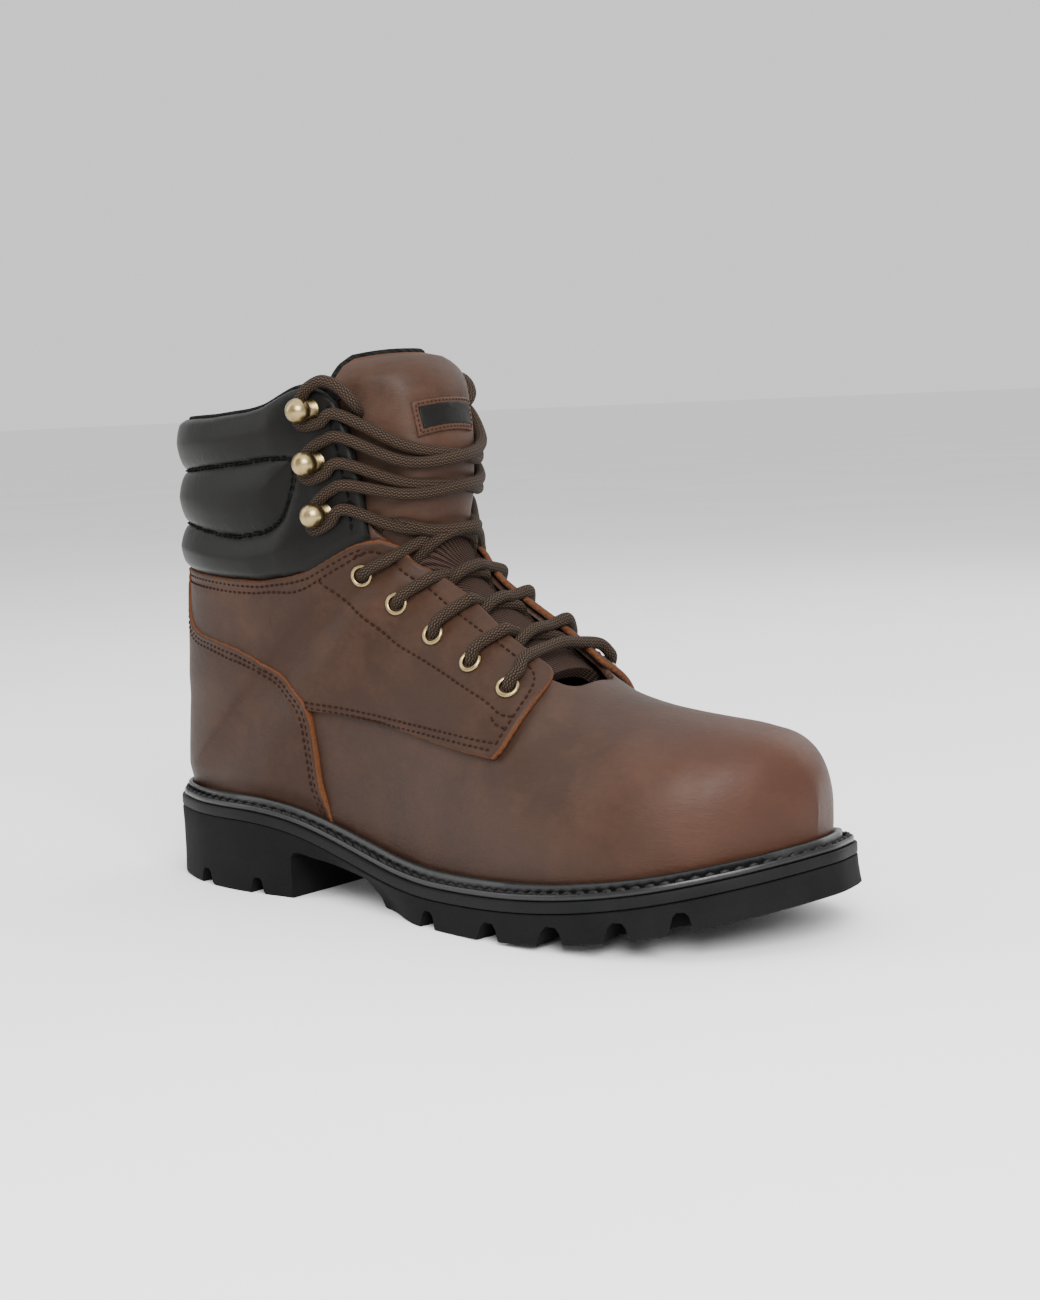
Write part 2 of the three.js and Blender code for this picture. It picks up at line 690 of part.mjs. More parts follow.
function regions() {
  const shaftSeam = seam(SHAFT_SEAM);
  const eyestay = seam(EYESTAY_EDGE);
  const [backLow, backSeam] = seam([{ x: -0.05, rise: -0.2 }, { x: -0.05, rise: 0.7 }]);
  const counterFoot = seam([{ x: 0.346, rise: -0.2 }]);
  const collarEdge = [...seam(COLLAR_FRONT), ...seam(COLLAR_TOP)];
  const above = seam([{ x: -0.03, rise: 2 }, { x: 1.2, rise: 2 }, { x: 1.2, rise: 0.7 }]);
  const flapEdge = eyestay.slice(0, 3).reverse();
  const opening = [...seam([OPENING_FOOT]), ...flapEdge, ...shaftSeam.slice(-1), ...collarEdge];
  const corners = [{ x: -0.5, rise: -1 }, { x: 1.5, rise: -1 }, { x: 1.5, rise: 3 }, { x: -0.5, rise: 3 }];
  const wholeSide = seam(corners);
  const setBack = opening.map((p) => new THREE.Vector2(p.x - 0.7 * EDGE_SETBACK, p.y - 0.7 * EDGE_SETBACK));
  return {
    counter: prism([...seam(COUNTER_SEAM), ...counterFoot, backLow, backSeam]),
    underSeam: prism([...shaftSeam, ...seam([{ x: 0.43, rise: -0.2 }]), backLow]),
    quarter: prism([...shaftSeam, ...eyestay, ...seam(QUARTER_FOOT), ...seam([{ x: -0.05, rise: 0.29 }])]),
    collar: prism([...shaftSeam.slice(0, -1).map((p) => new THREE.Vector2(p.x, p.y + GAP)), ...collarEdge]),
    opening: prism([...setBack, ...above]),
    overSeam: prism([...shaftSeam, new THREE.Vector2(shaftSeam.at(-1).x, above[0].y), above[0]]),
    lateral: prism(wholeSide, -2 * BALL_WIDTH, 0),
    seat: soleSpace(GAP),
    welt: soleSpace(2 * GAP + WELT_RIM_HEIGHT),
  };
}

// The collar's outer face: puffs between the channels at the back and sides, flat at the front
function collarSurface(p) {
  const rise = (p.z - soleTop(p.x) - GAP) / UPPER_RISE;
  const fade = 1 - ramp(p.x, PUFF_FADE.from * SOLE_LENGTH, PUFF_FADE.to * SOLE_LENGTH);
  const puff = PUFFS.find((row) => rise > row.low && rise < row.high);
  const crown = puff ? Math.sin(Math.PI * (rise - puff.low) / (puff.high - puff.low)) ** 0.6 : 0;
  return GAP + COLLAR_FLAT + COLLAR_PUFF * fade * crown;
}
// Sections of the collar, close together where its puffs are
const PUFF_STOPS = Array.from({ length: 15 }, (_, i) => 19 + i / 4);
const COLLAR_STOPS = [10, 13, 15, 17, 18, ...PUFF_STOPS, 23];


// Tongue: sections along its length, half width and the opening's edge in v, depth under the surface
const TONGUE = [
  { u: 7.8, half: 0.13, edge: 0.06, depth: 4.2 },
  { u: 9, half: 0.17, edge: 0.08, depth: 4.4 },
  { u: 10, half: 0.18, edge: 0.09, depth: 4.4 },
  { u: 11, half: 0.2, edge: 0.11, depth: 4.4 },
  { u: 12, half: 0.22, edge: 0.13, depth: 4.2 },
  { u: 13, half: 0.26, edge: 0.15, depth: 3.4 },
  { u: 14, half: 0.3, edge: 0.19, depth: 2.2 },
  { u: 15, half: 0.34, edge: 0.23, depth: 1 },
  { u: 16, half: 0.37, edge: 0.27, depth: 0.4 },
  { u: 18, half: 0.4, edge: 0.3, depth: 0 },
  { u: 20, half: 0.4, edge: 0.32, depth: 0 },
  { u: 21, half: 0.4, edge: 0.34, depth: 0.6 },
  { u: 21.7, half: 0.4, edge: 0.36, depth: 3 },
  { u: 22.2, half: 0.39, edge: 0.38, depth: 8 },
  { u: 22.5, half: 0.37, edge: 0.38, depth: 15 },
];

function tongueDepth({ depth, edge }, v) {
  const under = UPPER_WALL + 3 * GAP;
  return Math.max(depth, THREE.MathUtils.lerp(depth, under, ramp(Math.abs(v), 0.4 * edge, 0.85 * edge)));
}

// A closed sheet over rows of (u, half, depth), thick inwards from its outer face
function sheet(rows, columns, outer, thickness) {
  const face = (below) => rows.map((row) => Array.from({ length: columns + 1 }, (_, j) => {
    const v = row.half * (2 * j / columns - 1);
    return offsetPoint(row.u, v, outer(row, v) - below);
  }));
  const [front, back] = [face(0), face(thickness)];
  const list = [];
  const n = rows.length - 1;
  for (let k = 0; k < n; k += 1) {
    for (let j = 0; j < columns; j += 1) {
      quad(list, front[k][j], front[k][j + 1], front[k + 1][j + 1], front[k + 1][j]);
      quad(list, back[k][j + 1], back[k][j], back[k + 1][j], back[k + 1][j + 1]);
    }
    quad(list, back[k][0], front[k][0], front[k + 1][0], back[k + 1][0]);
    quad(list, front[k][columns], back[k][columns], back[k + 1][columns], front[k + 1][columns]);
  }
  for (let j = 0; j < columns; j += 1) {
    quad(list, back[0][j], back[0][j + 1], front[0][j + 1], front[0][j]);
    quad(list, front[n][j], front[n][j + 1], back[n][j + 1], back[n][j]);
  }
  return solidOf(list);
}

function makeTongue() {
  return sheet(TONGUE, 12, (row, v) => -tongueDepth(row, v), TONGUE_THICKNESS);
}

function makePatch() {
  const rows = [18.5, 19.4, 20.25].map((u) => ({ u, half: 0.165, edge: 0.3, depth: 0 }));
  return sheet(rows, 6, (row, v) => PATCH_THICKNESS + 2 * GAP - tongueDepth(row, v), PATCH_THICKNESS);
}

function lathe(profile, segments) {
  const geometry = new THREE.LatheGeometry(profile.map(([r, z]) => new THREE.Vector2(r, z)), segments);
  geometry.rotateX(Math.PI / 2);
  return manifold(geometry);
}

const EYELET_BARREL = EYELET_HOLE / 2 + 0.5;
const ROUND_STEPS = 8;
const BALL_STEPS = 4;

// A pressed ring: a rounded flange on the leather and a barrel into the hole
function eyeletShape() {
  const [hole, rim] = [EYELET_HOLE / 2, EYELET_DIAMETER / 2];
  const deep = -OVERLAY - GAP;
  return lathe([
    [hole, deep],
    [EYELET_BARREL, deep],
    [EYELET_BARREL, 0],
    [rim, 0],
    [0.5 * (rim + EYELET_BARREL), EYELET_THICKNESS],
    [hole, 0.25 * EYELET_THICKNESS],
    [hole, deep],
  ], ROUND_STEPS);
}

// A speed hook: a domed foot, a neck and a ball
function hookShape() {
  const ball = HOOK_BALL / 2;
  const neck = HOOK_NECK / 2;
  const profile = [[0, 0], [ball * 0.8, 0], [ball * 0.8, 0.6], [neck, 1.4]];
  const start = Math.asin(neck / ball);
  for (let i = 0; i <= BALL_STEPS; i += 1) {
    const a = (Math.PI - start) * (1 - i / BALL_STEPS);
    profile.push([i === BALL_STEPS ? 0 : ball * Math.sin(a), HOOK_STANDOFF + ball * Math.cos(a)]);
  }
  return lathe(profile, ROUND_STEPS);
}

// The lace's height over the surface, its roundness, and where strands join and stop at the hooks
const LACE_OVER = 8 * GAP + OVERLAY + EYELET_THICKNESS + LACE_DIAMETER / 2;
const LACE_SIDES = 4;
const LACE_JOIN = 0.78;
const LACE_HOOK_REACH = 0.82;

// One strand of lace over the throat, between two points of the surface
function crossing(a, b) {
  const shares = Array.from({ length: 7 }, (_, i) => i / 6);
  const points = shares.map((f) => offsetPoint(a.u + (b.u - a.u) * f, a.v + (b.v - a.v) * f, LACE_OVER));
  const r = LACE_DIAMETER / 2;
  const section = new THREE.Shape(Array.from({ length: LACE_SIDES }, (_, i) => {
    const a = 2 * Math.PI * i / LACE_SIDES;
    return new THREE.Vector2(r * Math.cos(a), r * Math.sin(a));
  }));
  const extrudePath = new THREE.CatmullRomCurve3(points);
  return manifold(new THREE.ExtrudeGeometry(section, { steps: 3, extrudePath }));
}

// From a straight bar at the lowest pair, the strands cross at each level up to the top hooks. Each
// starts on the strand that arrives at its level, so that all of them are one body.
function makeLace(eyelets, hooks) {
  const mirror = ({ u, v }) => ({ u, v: -v });
  const between = (a, b, share) => ({ u: a.u + (b.u - a.u) * share, v: a.v + (b.v - a.v) * share });
  const before = ({ u, v }) => ({ u, v: v * LACE_HOOK_REACH });
  const [lowest, ...levels] = [...[...eyelets].reverse(), ...[...hooks].reverse().map(before)];
  const strands = [crossing(lowest, mirror(lowest))];
  let start = between(mirror(lowest), lowest, LACE_JOIN);
  for (const level of levels) {
    strands.push(crossing(start, mirror(level)), crossing(mirror(start), level));
    start = between(mirror(start), level, LACE_JOIN);
  }
  return wasm.Manifold.union(strands);
}

// Materials as they look on the real boot
const FINISHES = {
  rubber: { color: 0x1d1f1e, roughness: 0.75, metalness: 0 },
  welt: { color: 0x0f1011, roughness: 0.35, metalness: 0 },
  leather: { color: 0x4f352a, roughness: 0.55, metalness: 0 },
  collar: { color: 0x26221f, roughness: 0.45, metalness: 0 },
  lining: { color: 0x2a2421, roughness: 0.9, metalness: 0 },
  patch: { color: 0x3a2218, roughness: 0.6, metalness: 0 },
  brass: { color: 0x9a875c, roughness: 0.35, metalness: 1 },
  lace: { color: 0x33241b, roughness: 0.85, metalness: 0 },
};

const boot = new THREE.Group();

function add(name, finish, solid, matrix) {
  const { numProp, vertProperties, triVerts } = solid.getMesh();
  if (numProp !== 3 || triVerts.length === 0) {
    throw new Error(name + " came out empty");
  }
  const geometry = new THREE.BufferGeometry();
  geometry.setAttribute("position", new THREE.BufferAttribute(new Float32Array(vertProperties), 3));
  geometry.setIndex(new THREE.BufferAttribute(new Uint32Array(triVerts), 1));
  geometry.computeVertexNormals();
  const mesh = new THREE.Mesh(geometry, new THREE.MeshStandardMaterial(FINISHES[finish]));
  mesh.name = name;
  if (matrix) {
    matrix.decompose(mesh.position, mesh.quaternion, mesh.scale);
  }
  boot.add(mesh);
}

const area = regions();
const overlayBand = skinWall(GAP + OVERLAY, GAP).subtract(area.welt);
const eyelets = seam(EYELETS).map((p) => locate(p, -1));
const hooks = seam(HOOKS).map((p) => locate(p, -1));
const bothSides = ({ u, v }) => [{ name: "lateral", u, v }, { name: "medial", u, v: -v }];

const holes = wasm.Manifold.union(eyelets.flatMap(bothSides).map((spot) => {
  const radius = (EYELET_BARREL + GAP) / Math.cos(Math.PI / ROUND_STEPS);
  const drill = new THREE.CylinderGeometry(radius, radius, 4 * (OVERLAY + UPPER_WALL), ROUND_STEPS);
  drill.rotateX(Math.PI / 2);
  drill.applyMatrix4(standOn(spot, 0));
  return manifold(drill);
}));

add("outsole", "rubber", makeOutsole());
add("midsole", "rubber", makeMidsole());
add("welt", "welt", makeWelt());
add("insole", "lining", makeInsole());
add("upper", "leather", skinWall(0, -UPPER_WALL).subtract(area.seat).subtract(area.opening)
  .subtract(area.overSeam).subtract(holes));
const counterArea = area.counter.translate(1.2 * GAP, 0, 1.2 * GAP);
const quarters = overlayBand.intersect(area.quarter).subtract(counterArea).subtract(holes);
add("quarter_lateral", "leather", quarters.intersect(area.lateral));
add("quarter_medial", "leather", quarters.subtract(area.lateral));
add("heel_counter", "leather", overlayBand.intersect(area.counter).intersect(area.underSeam));
add("collar", "collar", skinSolid(collarSurface, COLLAR_STOPS).subtract(skinSolid(-UPPER_WALL))
  .intersect(area.collar));
add("tongue", "leather", makeTongue());
add("tongue_patch", "patch", makePatch());
eyelets.forEach((eyelet, i) => bothSides(eyelet).forEach((spot) => {
  add(`eyelet_${spot.name}_${i + 1}`, "brass", eyeletShape(), standOn(spot, 2.8 * GAP + OVERLAY));
}));
hooks.forEach((hook, i) => bothSides(hook).forEach((spot) => {
  add(`hook_${spot.name}_${i + 1}`, "brass", hookShape(), standOn(spot, 2.5 * GAP + COLLAR_FLAT));
}));
add("lace", "lace", makeLace(eyelets, hooks));

// The origin is at the middle of the boot's underside
const bounds = new THREE.Box3().setFromObject(boot);
const middle = bounds.getCenter(new THREE.Vector3());
boot.position.set(-middle.x, -middle.y, -bounds.min.z);

export default boot;
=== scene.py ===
"""A right-foot lace-up work boot with a round safety toe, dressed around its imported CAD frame.

Lengths are worked out in millimetres from the boot's own tables and go into the frame in metres.
X runs from heel to toe, +Y is the medial side and Z is up.
"""
import math
import random

import bmesh
import bpy
import numpy as np
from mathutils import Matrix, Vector
from mathutils.kdtree import KDTree


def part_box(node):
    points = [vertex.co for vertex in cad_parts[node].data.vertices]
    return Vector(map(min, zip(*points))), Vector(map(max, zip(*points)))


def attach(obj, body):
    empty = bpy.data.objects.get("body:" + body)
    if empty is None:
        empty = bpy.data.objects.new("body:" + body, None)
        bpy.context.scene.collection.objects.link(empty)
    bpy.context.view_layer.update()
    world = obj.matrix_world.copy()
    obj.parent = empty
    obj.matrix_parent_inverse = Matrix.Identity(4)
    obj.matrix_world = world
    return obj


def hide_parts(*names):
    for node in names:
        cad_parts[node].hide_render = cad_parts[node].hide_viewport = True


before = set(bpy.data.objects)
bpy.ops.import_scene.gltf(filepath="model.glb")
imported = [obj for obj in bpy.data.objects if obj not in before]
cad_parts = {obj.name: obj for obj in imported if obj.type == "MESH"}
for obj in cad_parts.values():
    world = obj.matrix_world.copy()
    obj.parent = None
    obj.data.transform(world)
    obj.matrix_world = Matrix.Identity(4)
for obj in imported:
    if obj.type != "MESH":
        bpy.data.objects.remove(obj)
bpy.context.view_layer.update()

# Driving sizes of the boot, in millimetres
MM = 0.001
SOLE_LENGTH = 312.0
BALL_WIDTH = 116.0
HEEL_TOP = 33.0
FORE_TOP = 15.0
TOE_SPRING = 17.0
UPPER_RISE = 160.0
UPPER_WIDTH = 98.0
TOE_SHIFT = 6.0
HEEL_MARGIN = 8.3
FORE_MARGIN = 9.2
GAP = 0.3
WALL = 2.4
LACE_DIAMETER = 4.6

# Plan outline of the sole: x of SOLE_LENGTH, lateral and medial half widths of half BALL_WIDTH
PLAN = [
    (0, 0, 0), (0.01, 0.2, 0.2), (0.03, 0.35, 0.35), (0.06, 0.47, 0.47), (0.12, 0.61, 0.61),
    (0.2, 0.68, 0.66), (0.3, 0.67, 0.6), (0.4, 0.73, 0.56), (0.5, 0.835, 0.65), (0.6, 0.93, 0.79),
    (0.7, 1, 0.93), (0.78, 1, 0.98), (0.85, 0.92, 0.95), (0.9, 0.77, 0.88), (0.95, 0.5, 0.71),
    (0.98, 0.24, 0.5), (0.993, 0.07, 0.31), (1, -0.1, 0.1),
]

# Sections of the upper from toe to collar, straight lines in the side view from foot to ridge:
# x of SOLE_LENGTH, heights of UPPER_RISE over the sole, swells of half UPPER_WIDTH, roundness
SECTION_COLUMNS = ("foot", "lift", "ridge", "rise", "lateral", "medial", "belly", "crown", "back", "full")
SECTION_ROWS = [
    (0.9705, 0, 0.9755, 0.094, 0, 0, 0.3, 2.2, 1, 2),
    (0.967, 0, 0.972, 0.151, 0.02, 0.02, 0.3, 2.2, 1, 2),
    (0.956, 0, 0.96, 0.209, 0.03, 0.03, 0.3, 2.2, 1, 2),
    (0.933, 0, 0.935, 0.264, 0.04, 0.04, 0.3, 2.3, 1, 2),
    (0.895, 0, 0.895, 0.305, 0.04, 0.04, 0.3, 2.35, 1, 2),
    (0.832, 0, 0.832, 0.341, 0.04, 0.04, 0.28, 2.2, 1, 2),
    (0.762, 0, 0.762, 0.382, 0.035, 0.04, 0.25, 2.05, 1, 2),
    (0.698, 0, 0.698, 0.434, 0.03, 0.05, 0.25, 2.05, 1, 2),
    (0.629, 0, 0.648, 0.506, 0.02, 0.07, 0.25, 2.3, 1, 2),
    (0.546, 0, 0.603, 0.574, 0.02, 0.1, 0.3, 2.4, 1, 2),
    (0.46, 0, 0.559, 0.631, 0.03, 0.15, 0.33, 2.4, 1, 2),
    (0.368, 0, 0.524, 0.678, 0.04, 0.12, 0.4, 2.4, 1, 2),
    (0.273, 0, 0.502, 0.718, 0.05, 0.08, 0.45, 2.35, 1, 2),
    (0.178, 0, 0.491, 0.759, 0.08, 0.09, 0.5, 2.3, 1.05, 2),
    (0.095, 0, 0.486, 0.8, 0.18, 0.18, 0.55, 2.2, 1.3, 2.1),
    (0.045, 0, 0.484, 0.844, 0.4, 0.4, 0.6, 2.2, 1.9, 2.4),
    (0.029, 0.006, 0.484, 0.888, 0.7, 0.7, 0.64, 2.2, 2.6, 2.6),
    (0.035, 0.17, 0.484, 0.931, 0.7, 0.7, 0.66, 2.2, 2.6, 2.6),
    (0.044, 0.3, 0.484, 0.975, 0.7, 0.7, 0.66, 2.2, 2.6, 2.6),
    (0.05, 0.45, 0.483, 1.025, 0.71, 0.71, 0.67, 2.2, 2.6, 2.6),
    (0.056, 0.61, 0.479, 1.075, 0.72, 0.72, 0.68, 2.2, 2.6, 2.6),
    (0.062, 0.76, 0.476, 1.125, 0.73, 0.73, 0.68, 2.2, 2.6, 2.6),
    (0.063, 0.92, 0.473, 1.181, 0.74, 0.74, 0.68, 2.2, 2.6, 2.6),
    (0.063, 1.11, 0.47, 1.244, 0.74, 0.74, 0.68, 2.2, 2.6, 2.6),
]

# Side-view seams: x of SOLE_LENGTH, rise over the sole's top edge of UPPER_RISE
SHAFT_SEAM = [
    (0.04, 0.597), (0.065, 0.595), (0.143, 0.583), (0.194, 0.577), (0.251, 0.581), (0.302, 0.61),
    (0.337, 0.639), (0.368, 0.682), (0.397, 0.724), (0.413, 0.743), (0.43, 0.755),
]
EYESTAY_EDGE = [
    (0.43, 0.755), (0.448, 0.744), (0.464, 0.714), (0.659, 0.477), (0.668, 0.456), (0.67, 0.431),
    (0.668, 0.4), (0.663, 0.361), (0.654, 0.319), (0.643, 0.297),
]
QUARTER_FOOT = [
    (0.643, 0.297), (0.625, 0.303), (0.603, 0.307), (0.565, 0.317), (0.508, 0.326), (0.438, 0.329),
    (0.381, 0.312), (0.32, 0.291), (0.29, 0.285),
]
COUNTER_SEAM = [
    (0.07, 0.595), (0.073, 0.542), (0.078, 0.486), (0.089, 0.455), (0.114, 0.433), (0.145, 0.423),
    (0.197, 0.4045), (0.241, 0.385), (0.279, 0.358), (0.305, 0.33), (0.319, 0.317), (0.325, 0.276),
    (0.326, 0.227), (0.328, 0.17), (0.33, 0.118), (0.34, 0.057), (0.346, 0),
]
COLLAR_FRONT = [
    (0.421, 0.75), (0.42, 0.8), (0.416, 0.898), (0.411, 0.958), (0.405, 1.018), (0.395, 1.064),
]
COLLAR_TOP = [
    (0.395, 1.064), (0.381, 1.086), (0.359, 1.089), (0.33, 1.069), (0.308, 1.044), (0.279, 1.011),
    (0.251, 0.993), (0.178, 0.975), (0.1, 0.972), (0.066, 0.971),
]
THROAT_SIDE = [(0.688, 0.436), (0.655, 0.474), (0.46, 0.709), (0.444, 0.739), (0.428, 0.77)]

HALF_BALL = BALL_WIDTH / 2
HALF_UPPER = UPPER_WIDTH / 2


def ramp(x, low, high):
    """0 below low and 1 above high, smoothly."""
    f = np.clip((np.asarray(x, float) - low) / (high - low), 0, 1)
    return f * f * (3 - 2 * f)


def blend(a, b, c, d, f):
    """A smooth curve through four neighbours, at share f between b and c."""
    return b + 0.5 * f * (c - a + f * (2 * a - 5 * b + 4 * c - d + f * (3 * (b - c) + d - a)))


def row_at(table, u):
    """The columns of a table, smoothed between its rows, at row number u."""
    u = np.asarray(u, float)
    count = len(next(iter(table.values())))
    i = np.clip(np.floor(u).astype(int), 0, count - 2)
    near = [np.clip(i + k, 0, count - 1) for k in (-1, 0, 1, 2)]
    return {key: blend(*(column[n] for n in near), u - i) for key, column in table.items()}


def spring(x):
    """The ground line's rise towards the toe."""
    start = 0.57 * SOLE_LENGTH
    return TOE_SPRING * np.maximum(0, (np.asarray(x, float) - start) / (SOLE_LENGTH - start)) ** 2


def sole_top(x):
    fall = ramp(x, 0.19 * SOLE_LENGTH, 0.56 * SOLE_LENGTH)
    return HEEL_TOP - (HEEL_TOP - FORE_TOP) * fall + spring(x)


def margin(x):
    """How far the upper's foot lies inside the sole's outline."""
    return HEEL_MARGIN + (FORE_MARGIN - HEEL_MARGIN) * ramp(x, 0.2 * SOLE_LENGTH, 0.5 * SOLE_LENGTH)


def centre_y(x):
    return TOE_SHIFT * ramp(x, 0.8 * SOLE_LENGTH, 0.97 * SOLE_LENGTH)


def closed_outline():
    lateral = [(x * SOLE_LENGTH, -lat * HALF_BALL) for x, lat, _ in PLAN]
    medial = [(x * SOLE_LENGTH, med * HALF_BALL) for x, _, med in PLAN[-2:0:-1]]
    return np.array(lateral + medial)


OUTLINE = closed_outline()


def outline_point(s):
    """The sole's outline at s, which counts PLAN's rows down the lateral side and back."""
    s = np.asarray(s, float)
    i = np.floor(s).astype(int)
    near = [OUTLINE[(i + k) % len(OUTLINE)] for k in (-1, 0, 1, 2)]
    return blend(*near, (s - i)[..., None])


def plan_loop(s, inset):
    """Points of the outline moved inwards."""
    run = outline_point(s + 0.02) - outline_point(s - 0.02)
    run /= np.linalg.norm(run, axis=-1, keepdims=True)
    across = np.stack([-run[..., 1], run[..., 0]], axis=-1)
    return outline_point(s) + across * np.asarray(inset, float)[..., None]


def plan_point(u, side, inset):
    return plan_loop(np.asarray(u, float) if side < 0 else len(OUTLINE) - np.asarray(u, float), inset)


def feather_line(side):
    """Plan points along the upper's foot on one side, from heel to toe."""
    u = np.arange(0, len(PLAN) - 1 + 1e-9, 0.1)
    points = plan_point(u, side, margin(plan_point(u, side, np.zeros(len(u)))[:, 0]))
    return points[np.argsort(points[:, 0])]


FEATHER = {side: feather_line(side) for side in (-1, 1)}


def feather_y(x, side):
    return np.interp(x, FEATHER[side][:, 0], FEATHER[side][:, 1])


def section_table():
    table = dict(zip(SECTION_COLUMNS, np.array(SECTION_ROWS, float).T))
    x = table["foot"] * SOLE_LENGTH
    on_feather = (table["lift"] == 0) & (np.arange(len(x)) > 0)
    table["lateral_foot"] = np.where(on_feather, centre_y(x) - feather_y(x, -1), 0)
    table["medial_foot"] = np.where(on_feather, feather_y(x, 1) - centre_y(x), 0)
    return table


SECTIONS = section_table()
FIRST_CLOSED = int(np.argmax(SECTIONS["lift"] > 0))


def section_ends(row):
    foot_x = row["foot"] * SOLE_LENGTH
    ridge_x = row["ridge"] * SOLE_LENGTH
    foot_z = sole_top(foot_x) + GAP + np.maximum(row["lift"], 0) * UPPER_RISE
    ridge_z = sole_top(ridge_x) + GAP + row["rise"] * UPPER_RISE
    return np.stack([foot_x, foot_z], -1), np.stack([ridge_x, ridge_z], -1)


def half_width(row, side, t):
    """The upper's half width at share t of the way from foot to ridge."""
    start = np.where(side < 0, row["lateral_foot"], row["medial_foot"])
    swell = np.where(side < 0, row["lateral"], row["medial"]) * HALF_UPPER
    low = np.clip(1 - t / row["belly"], 0, 1)
    up = np.clip((t - row["belly"]) / (1 - row["belly"]), 0, 1)
    below = start + swell * np.clip(1 - low ** row["full"], 0, 1) ** (1 / row["back"])
    above = (start + swell) * np.clip(1 - up ** row["crown"], 0, 1) ** (1 / row["crown"])
    return np.where(t < row["belly"], below, above)


def skin(u, v):
    """The upper's surface: section u, and v from -1 (lateral foot) over 0 (ridge) to 1 (medial)."""
    u, v = np.broadcast_arrays(np.asarray(u, float), np.asarray(v, float))
    row = row_at(SECTIONS, u)
    foot, ridge = section_ends(row)
    up = 1 - np.minimum(np.abs(v), 1)
    low = row["belly"] * (1 - np.cos(up * math.pi))
    high = row["belly"] + (1 - row["belly"]) * np.sin((up - 0.5) * math.pi)
    t = np.where(up < 0.5, low, high)
    side = np.where(v < 0, -1, 1)
    p = foot + (ridge - foot) * t[..., None]
    half = np.where(up > 0.9999, 0, np.maximum(half_width(row, side, t), 0))
    return np.stack([p[..., 0], centre_y(p[..., 0]) + side * half, p[..., 1]], axis=-1)


def skin_normal(u, v):
    """Unit normals of the surface, kept upright on its middle line."""
    u, v = np.broadcast_arrays(np.asarray(u, float), np.asarray(v, float))
    along = skin(u + 0.05, v) - skin(np.maximum(u - 0.05, 0), v)
    across = skin(u, np.minimum(v + 0.03, 1)) - skin(u, np.maximum(v - 0.03, -1))
    normal = np.cross(across, along)
    row = row_at(SECTIONS, u)
    narrow = np.maximum(row["lateral_foot"], row["medial_foot"]) < 0.01
    middle = ((np.abs(v) > 0.9999) & narrow) | (u < 0.001) | (np.abs(v) < 0.0001)
    normal[..., 1] = np.where(middle, 0, normal[..., 1])
    return normal / np.linalg.norm(normal, axis=-1, keepdims=True)


def skin_at(places):
    """The surface's points at an array of (u, v)."""
    return skin(places[..., 0], places[..., 1])


def over_skin(u, v, distance):
    return skin(u, v) + skin_normal(u, v) * np.asarray(distance, float)[..., None]


def locate(points, side):
    """Section u and v of side-view points (x, z) on one side."""
    points = np.asarray(points, float)
    low = np.zeros(len(points))
    high = np.full(len(points), len(SECTION_ROWS) - 1.0)
    for _ in range(40):
        middle = (low + high) / 2
        foot, ridge = section_ends(row_at(SECTIONS, middle))
        along = ridge - foot
        reach = points - foot
        above = along[:, 0] * reach[:, 1] - along[:, 1] * reach[:, 0] > 0
        low = np.where(above, middle, low)
        high = np.where(above, high, middle)
    row = row_at(SECTIONS, low)
    foot, ridge = section_ends(row)
    along = ridge - foot
    t = np.clip(((points - foot) * along).sum(1) / (along * along).sum(1), 0, 1)
    belly = row["belly"]
    up = np.where(
        t < belly,
        np.arccos(np.clip(1 - t / belly, -1, 1)) / math.pi,
        0.5 + np.arcsin(np.clip((t - belly) / (1 - belly), 0, 1)) / math.pi,
    )
    return np.stack([low, side * (1 - up)], axis=-1)


def side_view(rows):
    """Rows of (x of SOLE_LENGTH, rise of UPPER_RISE) as points (x, z) in millimetres."""
    x = np.array([row[0] for row in rows]) * SOLE_LENGTH
    return np.stack([x, sole_top(x) + GAP + np.array([row[1] for row in rows]) * UPPER_RISE], -1)


def run_lengths(points):
    """How far along a polyline each of its points lies."""
    return np.concatenate([[0], np.cumsum(np.linalg.norm(np.diff(points, axis=0), axis=1))])


def along_line(points, step):
    """Points evenly spaced along a polyline of any dimension."""
    lengths = run_lengths(points)
    count = max(2, int(round(lengths[-1] / step)) + 1)
    stops = np.linspace(0, lengths[-1], count)
    return np.stack([np.interp(stops, lengths, column) for column in points.T], axis=-1)


def softened(points, reach):
    """A polyline with its corners rounded over about reach points, its ends kept."""
    weights = np.hanning(2 * reach + 3)[1:-1]
    weights /= weights.sum()
    start = 2 * points[0] - points[reach:0:-1]
    end = 2 * points[-1] - points[-2:-reach - 2:-1]
    padded = np.concatenate([start, points, end])
    return np.stack([np.convolve(column, weights, mode="valid") for column in padded.T], axis=-1)


def seam(rows, reach=4):
    """A seam as (u, v) on the lateral side, about 1 mm apart in the side view."""
    line = along_line(side_view(rows), 1.0)
    return locate(softened(line, min(reach, len(line) // 2 - 1)), -1)


def finely(curve, steps):
    """A (u, v) curve with that many points for each of its own, and their run on the surface."""
    rows = np.arange(len(curve))
    stops = np.linspace(0, rows[-1], steps * len(curve))
    fine = np.stack([np.interp(stops, rows, column) for column in curve.T], axis=-1)
    return fine, run_lengths(skin_at(fine))


def even(curve, step=1.0):
    """A (u, v) curve resampled evenly by its length on the surface."""
    fine, lengths = finely(curve, 8)
    stops = np.linspace(0, lengths[-1], max(2, int(round(lengths[-1] / step)) + 1))
    return np.stack([np.interp(stops, lengths, column) for column in fine.T], axis=-1)


